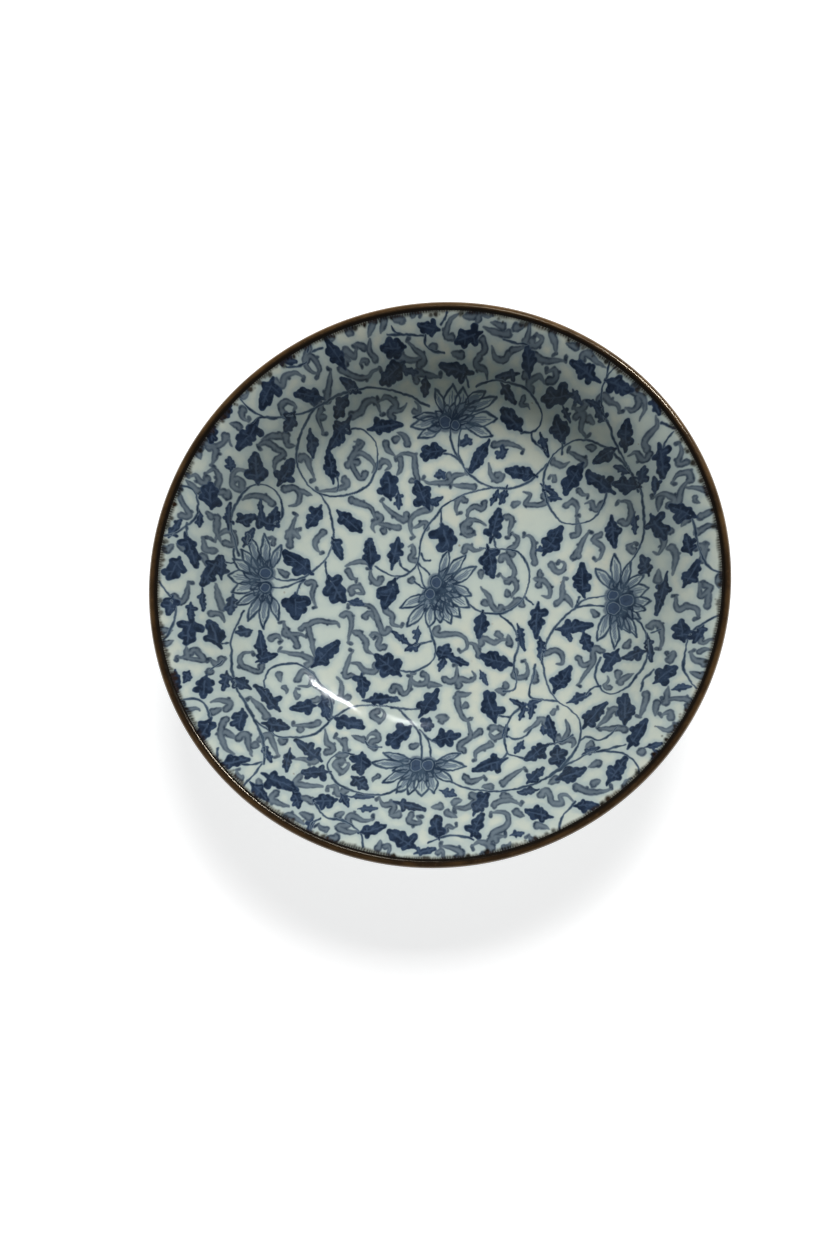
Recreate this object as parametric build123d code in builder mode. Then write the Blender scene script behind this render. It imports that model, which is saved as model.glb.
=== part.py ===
"""A shallow porcelain bowl with a flared lip, an attached foot ring and an iron-brown rim.

The bowl is round about +Z and stands on its foot ring at z = 0. It is built the way the pot is made:
a clay shell, a foot ring joined under it with slip, then the coats of glaze that are laid over both.
Every section is drawn in the XZ half plane and turned once about Z.
"""

import os
from math import asin, atan2, cos, degrees, hypot, radians, sin, sqrt, tan

from build123d import *

# Overall sizes, in millimetres
MOUTH_RADIUS = 80.0  # to the outermost point of the glazed lip
HEIGHT = 50.0  # from the table to the top of the glazed lip

# Inside of the clay shell: floor, shoulder, straight wall and flared lip
FLOOR_RADIUS = 38.0  # where the floor's gentle dish ends
FLOOR_SLOPE = 12.0  # degrees from level, at the edge of the floor
SHOULDER_BEND = 34.0  # radius of the curve between floor and wall
LIP_BEND = 60.0  # radius of the outward curve between wall and lip
LIP_SLOPE = 38.0  # degrees from level, at the lip
FLARE = 4.0  # least turn from the wall out to the lip, degrees

# Thicknesses
WALL = 2.2
FLOOR = 4.0
GLAZE = 0.3

# Foot ring
FOOT_RADIUS = 36.0  # outer face, where it stands
FOOT_WIDTH = 4.2  # across the ring, where it stands
FOOT_DRAFT = 6.0  # degrees that each face leans, so that the ring is wider at its root
FOOT_CLEARANCE = 4.5  # from the table up to the middle of the clay floor
FOOT_EDGE = 0.9  # rounding of the ring's two lower edges
BARE_FOOT = 1.3  # height of the ring that is wiped clean of glaze
GLAZE_POOL = 1.2  # radius of the glaze that gathers in the corner above the foot

# Iron-brown rim, measured back from the rounded edge of the lip
RIM_INSIDE = 0.35
RIM_OUTSIDE = 1.8


def turned(direction, angle):
    """A flat direction turned anticlockwise by an angle in degrees."""
    return Vector(direction.X, direction.Y).rotate(Axis.Z, angle)


# Where the section's fixed points lie. Slopes are measured from level.
tip_radius = WALL / 2
tip = Vector(MOUTH_RADIUS - GLAZE - tip_radius, HEIGHT - GLAZE - tip_radius)
floor_centre = Vector(0, FOOT_CLEARANCE + FLOOR)
floor_bend = FLOOR_RADIUS / sin(radians(FLOOR_SLOPE))
floor_edge = floor_centre + Vector(FLOOR_RADIUS, floor_bend * (1 - cos(radians(FLOOR_SLOPE))))
shoulder_bend = SHOULDER_BEND
lip_bend = LIP_BEND
lip_slope = LIP_SLOPE

# The wall is the straight line that touches the shoulder's circle and the lip's circle. On a bowl that
# is too low or too wide for them, the two bends are made tighter or the lip flatter until it has one.
for attempt in range(200):
    across_lip = turned(Vector(1, 0), lip_slope - 90)  # from the inside of the lip to its outside
    lip_inner = tip - across_lip * tip_radius
    shoulder_centre = floor_edge + turned(Vector(1, 0), FLOOR_SLOPE + 90) * shoulder_bend
    lip_centre = lip_inner + across_lip * lip_bend
    between = lip_centre - shoulder_centre
    spread = hypot(between.X, between.Y)
    both_bends = shoulder_bend + lip_bend
    if both_bends > 0.999 * spread:
        shoulder_bend = shoulder_bend * 0.97
        lip_bend = lip_bend * 0.97
        continue
    wall_slope = degrees(atan2(between.Y, between.X) + asin(both_bends / spread))
    if wall_slope > lip_slope + FLARE:
        break
    lip_slope = lip_slope - 1
wall_length = sqrt(spread**2 - both_bends**2)
across_wall = turned(Vector(1, 0), wall_slope - 90)
wall_foot = shoulder_centre + across_wall * shoulder_bend

# Outside of the shoulder: tangent to the outside of the wall and to the underside of the floor.
under_bend = floor_bend + FLOOR
under_centre = floor_centre + Vector(0, floor_bend)
outer_wall_foot = wall_foot + across_wall * WALL
reach = outer_wall_foot - under_centre
outer_shoulder_bend = (under_bend**2 - reach.dot(reach)) / (2 * (under_bend - reach.dot(across_wall)))
outer_shoulder_centre = outer_wall_foot - across_wall * outer_shoulder_bend
to_shoulder = outer_shoulder_centre - under_centre
under_slope = degrees(atan2(to_shoulder.X, -to_shoulder.Y))


def clay_shell_outline():
    """The closed outline of the clay shell's section, inside first, from the axis to the lip and back."""
    floor = JernArc((0, floor_centre.Y), (1, 0), floor_bend, FLOOR_SLOPE)
    shoulder = JernArc(floor @ 1, floor % 1, shoulder_bend, wall_slope - FLOOR_SLOPE)
    wall = PolarLine(shoulder @ 1, wall_length, wall_slope)
    lip = JernArc(wall @ 1, wall % 1, lip_bend, lip_slope - wall_slope)
    edge = JernArc(lip @ 1, lip % 1, tip_radius, -180)
    lip_back = JernArc(edge @ 1, edge % 1, lip_bend - WALL, wall_slope - lip_slope)
    wall_back = PolarLine(lip_back @ 1, wall_length, wall_slope + 180)
    shoulder_back = JernArc(wall_back @ 1, wall_back % 1, outer_shoulder_bend, under_slope - wall_slope)
    under = JernArc(shoulder_back @ 1, shoulder_back % 1, under_bend, -under_slope)
    Line(under @ 1, floor @ 0)


def underside(radius):
    """Height of the clay floor's underside at a radius from the axis."""
    return under_centre.Y - sqrt(under_bend**2 - radius**2)


def above_the_foot(corner):
    """True for the two corners of the glaze where the foot ring meets the underside."""
    root = FOOT_RADIUS - FOOT_WIDTH / 2
    return abs(corner.X - root) < FOOT_WIDTH and abs(corner.Y - underside(root)) < FLOOR / 2


def pool(corner, section):
    """Rounds a glaze corner by GLAZE_POOL, or by less where the faces beside it are too short."""
    here = section.vertices().sort_by_distance(corner)[0]
    radius = GLAZE_POOL
    while radius > GLAZE:
        try:
            fillet(here, radius)
            return
        except ValueError:
            radius = radius * 0.8


def foot_outline():
    """The closed outline of the foot ring's section, carried up into the middle of the clay floor."""
    top = underside(FOOT_RADIUS) + FLOOR / 2
    lean = top * tan(radians(FOOT_DRAFT))
    inner = FOOT_RADIUS - FOOT_WIDTH
    Polyline((inner, 0), (FOOT_RADIUS, 0), (FOOT_RADIUS + lean, top), (inner - lean, top), close=True)


# Sections of the clay
with BuildSketch(Plane.XZ) as shell_section:
    with BuildLine():
        clay_shell_outline()
    make_face()

with BuildSketch(Plane.XZ) as foot_section:
    with BuildLine():
        foot_outline()
    make_face()
    fillet(foot_section.vertices().group_by(Axis.Y)[0], FOOT_EDGE)
    add(shell_section.sketch_local, mode=Mode.SUBTRACT)

with BuildSketch(Plane.XZ) as clay_section:
    add(shell_section.sketch_local)
    add(foot_section.sketch_local)

# Sections of the glaze. The coat is everything within its thickness of the clay, right of the axis.
with BuildSketch(Plane.XZ) as glazed_section:
    add(clay_section.sketch_local)
    offset(amount=GLAZE, kind=Kind.ARC)
    corners = glazed_section.vertices().filter_by(above_the_foot)
    for corner in corners:
        pool(corner, glazed_section)
    Rectangle(HEIGHT, 3 * HEIGHT, align=(Align.MAX, Align.CENTER), mode=Mode.SUBTRACT)

with BuildSketch(Plane.XZ) as coat_section:
    add(glazed_section.sketch_local)
    add(clay_section.sketch_local, mode=Mode.SUBTRACT)
    with Locations((0, BARE_FOOT)):
        Rectangle(MOUTH_RADIUS, HEIGHT, align=(Align.MIN, Align.MAX), mode=Mode.SUBTRACT)

# The brown band is wiped on with a brush, further down the outside of the lip than the inside.
with BuildSketch(Plane.XZ) as rim_band_bounds:
    with Locations(Location((tip.X, tip.Y), lip_slope)):
        with Locations((-RIM_INSIDE, 0)):
            Rectangle(HEIGHT, HEIGHT, align=(Align.MIN, Align.MIN))
        with Locations((-RIM_OUTSIDE, 0)):
            Rectangle(HEIGHT, HEIGHT, align=(Align.MIN, Align.MAX))

with BuildSketch(Plane.XZ) as rim_section:
    add(coat_section.sketch_local)
    add(rim_band_bounds.sketch_local, mode=Mode.INTERSECT)

with BuildSketch(Plane.XZ) as clear_section:
    add(coat_section.sketch_local)
    add(rim_band_bounds.sketch_local, mode=Mode.SUBTRACT)
foot_well_face, inner_face, outer_face = clear_section.sketch.faces().sort_by(Axis.X)

# The solids: each section turned once about the bowl's axis
with BuildPart() as bowl_shell:
    revolve(shell_section.sketch, axis=Axis.Z)
    bowl_shell.part.label = "bowl_shell"

with BuildPart() as foot_ring:
    revolve(foot_section.sketch, axis=Axis.Z)
    foot_ring.part.label = "foot_ring"

with BuildPart() as inner_glaze:
    revolve(inner_face, axis=Axis.Z)
    inner_glaze.part.label = "inner_glaze"

with BuildPart() as outer_glaze:
    revolve(outer_face, axis=Axis.Z)
    outer_glaze.part.label = "outer_glaze"

with BuildPart() as foot_well_glaze:
    revolve(foot_well_face, axis=Axis.Z)
    foot_well_glaze.part.label = "foot_well_glaze"

with BuildPart() as rim_glaze:
    revolve(rim_section.sketch, axis=Axis.Z)
    rim_glaze.part.label = "rim_glaze"

os.makedirs("parts", exist_ok=True)
for piece in (bowl_shell, foot_ring, inner_glaze, outer_glaze, foot_well_glaze, rim_glaze):
    export_step(piece.part, f"parts/{piece.part.label}.step")
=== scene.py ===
"""Looks of the shallow porcelain bowl: glazed surfaces, underglaze-blue lotus scroll and brown rim.

The frame is in metres. The painting is drawn in millimetres on a flat plan of each glazed surface and
then held by the points of that surface, so that it has the soft edges of blue under glaze.
"""
import random
from math import asin, atan2, ceil, cos, hypot, pi, radians, sin, sqrt, tan

import bpy
import numpy as np
from mathutils import Matrix, Vector


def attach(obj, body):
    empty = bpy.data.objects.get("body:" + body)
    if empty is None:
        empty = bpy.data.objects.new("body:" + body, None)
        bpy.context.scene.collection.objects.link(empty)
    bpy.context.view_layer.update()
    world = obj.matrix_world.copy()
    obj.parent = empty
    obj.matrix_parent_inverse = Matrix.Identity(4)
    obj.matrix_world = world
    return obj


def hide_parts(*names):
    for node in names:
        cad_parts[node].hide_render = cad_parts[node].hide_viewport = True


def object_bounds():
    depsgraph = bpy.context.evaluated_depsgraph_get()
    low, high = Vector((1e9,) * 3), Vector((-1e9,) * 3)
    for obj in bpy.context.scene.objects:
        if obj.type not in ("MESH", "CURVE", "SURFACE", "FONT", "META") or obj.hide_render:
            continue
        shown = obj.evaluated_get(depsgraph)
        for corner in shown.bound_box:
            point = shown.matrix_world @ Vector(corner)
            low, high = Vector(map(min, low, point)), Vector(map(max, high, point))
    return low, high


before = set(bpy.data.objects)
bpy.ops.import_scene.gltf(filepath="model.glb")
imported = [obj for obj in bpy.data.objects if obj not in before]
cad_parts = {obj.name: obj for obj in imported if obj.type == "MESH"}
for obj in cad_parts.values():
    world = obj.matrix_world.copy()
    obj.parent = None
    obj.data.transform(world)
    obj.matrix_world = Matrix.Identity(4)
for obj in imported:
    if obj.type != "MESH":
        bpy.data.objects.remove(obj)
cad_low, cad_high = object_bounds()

MM = 0.001
scene = bpy.context.scene
dice = random.Random(7)

# The section, in millimetres: the same sizes as the frame was built to
MOUTH_RADIUS = (cad_high.x - cad_low.x) / 2 / MM
HEIGHT = cad_high.z / MM
FLOOR_RADIUS = 38.0
FLOOR_SLOPE = radians(12)
SHOULDER_BEND = 34.0
LIP_BEND = 60.0
LIP_SLOPE = radians(38)
WALL = 2.2
FLOOR = 4.0
GLAZE = 0.3
FOOT_RADIUS = 36.0
FOOT_WIDTH = 4.2
FOOT_DRAFT = radians(6)
FOOT_CLEARANCE = 4.5
FOOT_EDGE = 0.9
BARE_FOOT = 1.3

# The mouth came out of the kiln a little oval, wider from lower left to upper right
OVAL_TURN = radians(21.5)
OVAL_LONG = 1.020
OVAL_SHORT = 0.987

SHARP_EDGE = radians(45)


# ---------------------------------------------------------------- section of the bowl

def below(slope):
    """Unit direction from the middle of a hollow curve to the point where it has this slope."""
    return np.array([sin(slope), -cos(slope)])


tip_radius = WALL / 2
tip = np.array([MOUTH_RADIUS - GLAZE - tip_radius, HEIGHT - GLAZE - tip_radius])
lip_inner = tip - below(LIP_SLOPE) * tip_radius
floor_bend = FLOOR_RADIUS / sin(FLOOR_SLOPE)
dish = np.array([0.0, FOOT_CLEARANCE + FLOOR + floor_bend])
shoulder = dish + below(FLOOR_SLOPE) * (floor_bend - SHOULDER_BEND)
lip = lip_inner + below(LIP_SLOPE) * LIP_BEND
between = lip - shoulder
spread = hypot(between[0], between[1])
wall_slope = atan2(between[1], between[0]) + asin((SHOULDER_BEND + LIP_BEND) / spread)
wall_length = sqrt(spread ** 2 - (SHOULDER_BEND + LIP_BEND) ** 2)
wall_foot = shoulder + below(wall_slope) * SHOULDER_BEND
under_bend = floor_bend + FLOOR
outer_foot = wall_foot + below(wall_slope) * WALL
reach = outer_foot - dish
outer_bend = (under_bend ** 2 - reach @ reach) / (2 * (under_bend - reach @ below(wall_slope)))
outer_shoulder = outer_foot - below(wall_slope) * outer_bend
to_shoulder = outer_shoulder - dish
under_slope = atan2(to_shoulder[0], -to_shoulder[1])


def curve(middle, radius, first, last, count):
    """Points on an arc about middle, between two slopes."""
    return [middle + below(first + (last - first) * i / count) * radius for i in range(count + 1)]


def inner_path(lift):
    """Inside of the bowl from the axis to the lip, lifted off the clay."""
    path = curve(dish, floor_bend - lift, 0, FLOOR_SLOPE, 80)
    path += curve(shoulder, SHOULDER_BEND - lift, FLOOR_SLOPE, wall_slope, 80)[1:]
    path += curve(lip, -(LIP_BEND + lift), wall_slope, LIP_SLOPE, 60)
    return path


def edge_path(lift, count=48):
    """Round the edge of the lip from inside to outside."""
    path = []
    for i in range(count + 1):
        a = LIP_SLOPE + pi / 2 - pi * i / count
        path.append(tip + np.array([cos(a), sin(a)]) * (tip_radius + lift))
    return path


def outer_path(lift):
    """Outside of the bowl from the lip to the middle of the underside."""
    path = curve(lip, -(LIP_BEND - WALL - lift), LIP_SLOPE, wall_slope, 60)
    path += curve(outer_shoulder, outer_bend + lift, wall_slope, under_slope, 80)
    path += curve(dish, under_bend + lift, under_slope, 0, 80)[1:]
    return path


def foot_face(side, lift, z):
    """Point on the foot ring's outer (side 1) or inner (side -1) face at a height."""
    radius = FOOT_RADIUS if side > 0 else FOOT_RADIUS - FOOT_WIDTH
    return np.array([radius + side * (z * tan(FOOT_DRAFT) + lift / cos(FOOT_DRAFT)), z])


def rounded(path, corner, size):
    """The two ends of a path joined by a soft bend in place of the sharp corner between them."""
    first = [p for p in path[0] if np.linalg.norm(p - corner) > size]
    last = [p for p in path[1] if np.linalg.norm(p - corner) > size]
    a = corner + (first[-1] - corner) / np.linalg.norm(first[-1] - corner) * size
    b = corner + (last[0] - corner) / np.linalg.norm(last[0] - corner) * size
    bend = [a * (1 - t) ** 2 + corner * 2 * t * (1 - t) + b * t * t for t in np.linspace(0, 1, 9)]
    return first + bend + last


def resampled(path, step):
    """Evenly spaced points along a path, and the distance along it of each."""
    path = np.array(path)
    along = np.r_[0, np.cumsum(np.hypot(*np.diff(path, axis=0).T))]
    keep = np.r_[True, np.diff(along) > 1e-9]
    path, along = path[keep], along[keep]
    count = max(2, int(ceil(along[-1] / step)))
    at = np.linspace(0, along[-1], count + 1)
    return np.c_[np.interp(at, along, path[:, 0]), np.interp(at, along, path[:, 1])], at


def outside(lift, low):
    """Outside from the lip down to this height on the foot's outer face, or below zero, the foot well."""
    whole = outer_path(lift)
    side = 1 if low > 0 else -1
    low = abs(low)
    if side > 0:
        kept = [p for p in whole if p[0] > foot_face(1, lift, p[1])[0]]
        corner = foot_face(1, lift, kept[-1][1] - 0.02)
        face = [corner] + [foot_face(1, lift, z) for z in np.linspace(corner[1] - 0.3, low, 16)]
        return rounded((kept + [corner], face), corner, 1.3)
    kept = [p for p in whole if p[0] < foot_face(-1, lift, p[1])[0]]
    corner = foot_face(-1, lift, kept[0][1] + 0.02)
    face = [foot_face(-1, lift, z) for z in np.linspace(low, corner[1] - 0.3, 16)] + [corner]
    return rounded((face, [corner] + kept), corner, 1.3)


# ---------------------------------------------------------------- meshes

def shaped(points):
    """Millimetre points of the true round form with the kiln's slight oval and sag, in metres."""
    x, y, z = points.T
    a, b = cos(OVAL_TURN), sin(OVAL_TURN)
    along = (x * a + y * b) * OVAL_LONG
    across = (y * a - x * b) * OVAL_SHORT
    radius = np.hypot(x, y)
    turn = np.arctan2(y, x)
    sag = (radius / MOUTH_RADIUS) ** 3 * (0.22 * np.sin(2 * turn + 0.6) + 0.12 * np.sin(3 * turn + 2.0) - 0.3)
    sag = sag * np.clip((z - 9) / 30, 0, 1) ** 2
    return np.c_[along * a - across * b, along * b + across * a, z + sag] * MM


def made_mesh(name, points, quads, uv, tris=None):
    """A mesh object from point, face and map arrays, smooth except at sharp edges."""
    mesh = bpy.data.meshes.new(name)
    sides = [4] * len(quads)
    corners = np.asarray(quads, np.int32).ravel()
    if tris is not None and len(tris):
        sides = sides + [3] * len(tris)
        corners = np.r_[corners, np.asarray(tris, np.int32).ravel()]
    sides = np.array(sides, np.int32)
    starts = np.r_[0, np.cumsum(sides)[:-1]].astype(np.int32)
    mesh.vertices.add(len(points))
    mesh.vertices.foreach_set("co", np.asarray(points, np.float32).ravel())
    mesh.loops.add(len(corners))
    mesh.loops.foreach_set("vertex_index", corners.astype(np.int32))
    mesh.polygons.add(len(sides))
    mesh.polygons.foreach_set("loop_start", starts)
    mesh.update(calc_edges=True)
    mesh.polygons.foreach_set("use_smooth", np.ones(len(sides), bool))
    layer = mesh.uv_layers.new(name="UVMap")
    layer.data.foreach_set("uv", np.asarray(uv, np.float32)[corners].ravel())
    mesh.validate()
    mesh.set_sharp_from_angle(angle=SHARP_EDGE)
    obj = bpy.data.objects.new(name, mesh)
    scene.collection.objects.link(obj)
    return obj


def turned_piece(name, outline, around, front=None):
    """A closed ring-shaped piece turned from a closed outline. front counts the outline points that show."""
    outline = np.array(outline)
    count = len(outline)
    turn = np.arange(around) * 2 * pi / around
    points = np.zeros((around, count, 3))
    points[:, :, 0] = np.cos(turn)[:, None] * outline[:, 0]
    points[:, :, 1] = np.sin(turn)[:, None] * outline[:, 0]
    points[:, :, 2] = outline[:, 1]
    i, j = np.meshgrid(np.arange(around), np.arange(count), indexing="ij")
    i, j = i.ravel(), j.ravel()
    right, up = (i + 1) % around, (j + 1) % count
    quads = np.c_[i * count + j, i * count + up, right * count + up, right * count + j]
    flat = points.reshape(-1, 3)
    length = np.r_[0, np.cumsum(np.hypot(*np.diff(outline, axis=0).T))]
    reach_out = length[-1] if front is None else length[front - 1]
    ring = 0.12 + 0.36 * np.minimum(length / reach_out, 1.3) / 1.3
    uv = np.zeros((around, count, 2))
    uv[:, :, 0] = 0.5 + np.cos(turn)[:, None] * ring
    uv[:, :, 1] = 0.5 + np.sin(turn)[:, None] * ring
    return made_mesh(name, shaped(flat), quads, uv.reshape(-1, 2)), flat


def dish_piece(name, front, back, upward):
    """A thin round coat. front is a fine path from the axis outward, back a coarse one at the clay."""
    rings = len(front) - 1
    around = 8 * rings
    middle = [np.array([[0, 0, front[0][1]]])]
    starts = [0, 1]
    for k in range(1, rings + 1):
        turn = np.arange(8 * k) * 2 * pi / (8 * k)
        r, z = front[k]
        middle.append(np.c_[np.cos(turn) * r, np.sin(turn) * r, np.full(8 * k, z)])
        starts.append(starts[-1] + 8 * k)
    tris = []
    quads = []
    for k in range(1, rings + 1):
        outer = np.arange(8 * k) + starts[k]
        following = np.roll(outer, -1)
        if k == 1:
            tris.append(np.c_[np.zeros(8, int), outer, following])
            continue
        inner = np.arange(8 * (k - 1)) + starts[k - 1]
        for eighth in range(8):
            o = (np.arange(k + 1) + eighth * k) % (8 * k)
            n = (np.arange(k) + eighth * (k - 1)) % (8 * (k - 1))
            tris.append(np.c_[inner[n[:k]], outer[o[:k]], outer[o[1:]]])
            tris.append(np.c_[inner[n[:-1]], outer[o[1:-1]], inner[n[1:]]])
    base = starts[-1]
    rows = [np.arange(around) + starts[rings]]
    turn = np.arange(around) * 2 * pi / around
    for r, z in back[::-1][:-1]:
        middle.append(np.c_[np.cos(turn) * r, np.sin(turn) * r, np.full(around, z)])
        rows.append(np.arange(around) + base)
        base += around
    middle.append(np.array([[0, 0, back[0][1]]]))
    for a, b in zip(rows[:-1], rows[1:]):
        quads.append(np.c_[a, b, np.roll(b, -1), np.roll(a, -1)])
    tris.append(np.c_[np.full(around, base), np.roll(rows[-1], -1), rows[-1]])
    points = np.concatenate(middle)
    tris = np.concatenate(tris)
    quads = np.concatenate(quads)
    if not upward:
        tris = tris[:, ::-1]
        quads = quads[:, ::-1]
    uv = 0.5 + points[:, :2] / (2.1 * MOUTH_RADIUS)
    return made_mesh(name, shaped(points), quads, uv, tris), points


# ---------------------------------------------------------------- painting

BLUES = ("dark", "pale", "line")


class Plan:
    """A flat drawing in millimetres of how much of each colour lies where."""
    STEP = 0.1
    HAZE_CELLS = 5

    def __init__(self, reach):
        self.reach = reach
        self.side = int(2 * reach / self.STEP) + 1
        self.inks = {k: np.zeros((self.side, self.side), np.float32)
                     for k in (*BLUES, "brown", "lift dark", "lift pale")}

    def dab(self, ink, start, end, wide_start, wide_end, amount=1.0, soft=0.3):
        """One straight touch of the brush, round at both ends."""
        sheet = self.inks[ink]
        most = max(wide_start, wide_end) / 2 + soft
        low = [int((min(start[k], end[k]) - most + self.reach) / self.STEP) for k in (0, 1)]
        high = [int((max(start[k], end[k]) + most + self.reach) / self.STEP) + 2 for k in (0, 1)]
        low = [max(0, v) for v in low]
        high = [min(self.side, v) for v in high]
        if low[0] >= high[0] or low[1] >= high[1]:
            return
        x = np.arange(low[0], high[0]) * self.STEP - self.reach
        y = (np.arange(low[1], high[1]) * self.STEP - self.reach)[:, None]
        dx, dy = end[0] - start[0], end[1] - start[1]
        long = max(dx * dx + dy * dy, 1e-9)
        t = np.clip(((x - start[0]) * dx + (y - start[1]) * dy) / long, 0, 1)
        away = np.hypot(x - start[0] - t * dx, y - start[1] - t * dy)
        half = (wide_start + (wide_end - wide_start) * t) / 2
        cover = np.clip(0.5 + (half - away) / soft, 0, 1) * amount
        part = sheet[low[1]:high[1], low[0]:high[0]]
        np.maximum(part, cover, out=part)

    def stroke(self, ink, points, widths, amount=1.0, soft=0.3):
        """A curved stroke through the points. widths is a function of 0 to 1 along it."""
        line = smooth(points)
        count = len(line) - 1
        for i in range(count):
            self.dab(ink, line[i], line[i + 1], widths(i / count), widths((i + 1) / count), amount, soft)

    def thinned(self, ink, points, widths, left, soft=0.5):
        """Take ink away along a stroke, where the brush pushed it out to the edges."""
        self.stroke("lift " + ink, points, widths, 1.0 - left, soft)

    def wipe(self, middle, radius):
        """Clear every ink from a round spot, before something is painted there."""
        low = [int((v - radius + self.reach) / self.STEP) for v in middle]
        high = [int((v + radius + self.reach) / self.STEP) + 2 for v in middle]
        x = np.arange(low[0], high[0]) * self.STEP - self.reach
        y = (np.arange(low[1], high[1]) * self.STEP - self.reach)[:, None]
        kept = np.clip((np.hypot(x - middle[0], y - middle[1]) - radius) / 0.3, 0, 1)
        for ink in BLUES:
            self.inks[ink][low[1]:high[1], low[0]:high[0]] *= kept

    def sampled(self, sheet, step, x, y):
        """Values of a sheet of square cells at these plan points."""
        u = np.clip((x + self.reach) / step, 0, len(sheet) - 1.001)
        v = np.clip((y + self.reach) / step, 0, len(sheet) - 1.001)
        i, j = u.astype(int), v.astype(int)
        a, b = u - i, v - j
        return (sheet[j, i] * (1 - a) * (1 - b) + sheet[j, i + 1] * a * (1 - b)
                + sheet[j + 1, i] * (1 - a) * b + sheet[j + 1, i + 1] * a * b)

    def held(self, ink, x, y):
        """How much of an ink lies at these plan points."""
        amount = self.sampled(self.inks[ink], self.STEP, x, y)
        if "lift " + ink in self.inks:
            amount = amount * (1 - self.sampled(self.inks["lift " + ink], self.STEP, x, y))
        return amount

    def haze(self, x, y):
        """How much blue has bled into the glaze at these plan points, from ink within about 2 mm."""
        block = self.HAZE_CELLS
        cells = self.side // block
        ink = np.clip(self.inks["dark"] + 0.7 * self.inks["pale"] + 0.6 * self.inks["line"], 0, 1)
        spread = ink[:cells * block, :cells * block].reshape(cells, block, cells, block).mean((1, 3))
        for _ in range(5):
            for axis in (0, 1):
                spread = (np.roll(spread, 1, axis) + spread + np.roll(spread, -1, axis)) / 3
        middle = (block - 1) // 2 * self.STEP
        return self.sampled(spread, block * self.STEP, x - middle, y - middle)

    def clear(self, x, y, distances, half):
        """Whether there is no blue at a point or on rings of spots round it, half of each ring being half."""
        spots = [(x + d * cos(k * pi / half), y + d * sin(k * pi / half))
                 for d in distances for k in range(2 * half)]
        spots = np.array(spots + [(x, y)])
        return max(self.held(ink, spots[:, 0], spots[:, 1]).max() for ink in BLUES) < 0.15


def smooth(points):
    """A smooth line through the points, as steps of about half a millimetre."""
    p = [np.array(q, float) for q in points]
    if len(p) == 2:
        p = [p[0], (p[0] + p[1]) / 2, p[1]]
    p = [2 * p[0] - p[1]] + p + [2 * p[-1] - p[-2]]
    line = []
    for a, b, c, d in zip(p, p[1:], p[2:], p[3:]):
        count = max(2, int(np.linalg.norm(c - b) / 0.5))
        for i in range(count):
            t = i / count
            line.append(0.5 * (2 * b + (c - a) * t + (2 * a - 5 * b + 4 * c - d) * t * t
                               + (3 * b - a - 3 * c + d) * t ** 3))
    line.append(p[-2])
    return line


def pairs(text):
    """Points from a row of numbers."""
    numbers = [float(v) for v in text.split()]
    return list(zip(numbers[::2], numbers[1::2]))


def vine(plan, text):
    """A thin stem whose width swells and shrinks as the brush is pressed."""
    wide = 0.5
    phase = dice.random() * 6
    plan.stroke("line", pairs(text), lambda t: wide * (1 + 0.28 * sin(phase + 13 * t)), 1.0, 0.3)


def curl(plan, text, wide=1.95):
    """A comma of thinned blue: a round head, a full body and a thin tail, darker along its edges."""
    points = [np.array(q) for q in pairs(text)]
    if dice.random() < 0.5:
        points = points[::-1]
    amount = 0.88 + 0.12 * dice.random()
    ahead = points[-1] - points[-2]
    ahead = ahead / max(0.1, np.linalg.norm(ahead))
    across = np.array([-ahead[1], ahead[0]]) * (1 if dice.random() < 0.5 else -1)
    hook = 0.5 * wide
    if len(points) > 2 and dice.random() < 0.55:
        start = points[-1]
        for k in (1, 2, 3):
            b = radians(52 * k)
            points.append(start + ahead * hook * sin(b) + across * hook * (1 - cos(b)))

    def body(t):
        return wide * (0.20 + 0.80 * sin(pi * (0.02 + 0.62 * t)))

    plan.stroke("pale", points, body, amount, 0.38)
    plan.thinned("pale", points, lambda t: 0.50 * body(t), 0.60)
    knob = points[-1] + across * wide * 0.10
    plan.dab("pale", knob, knob + across * 0.2, wide * 1.22, wide * 1.0, amount, 0.38)
    plan.thinned("pale", [knob, knob + across * 0.2], lambda t: 0.44 * wide, 0.62)
    start, after = points[0], points[1]
    if len(points) > 2 and dice.random() < 0.6:
        aside = np.array([-(after - start)[1], (after - start)[0]])
        aside = aside / max(0.1, np.linalg.norm(aside)) * (0.9 if dice.random() < 0.5 else -0.9)
        plan.dab("pale", start, start + aside, wide * 0.5, wide * 0.62, amount, 0.38)
    if len(points) > 3 and wide > 1.7:
        bulge = points[2] - across * 0.9
        plan.dab("pale", points[2], bulge, wide * 0.7, wide * 0.5, amount, 0.38)


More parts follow.
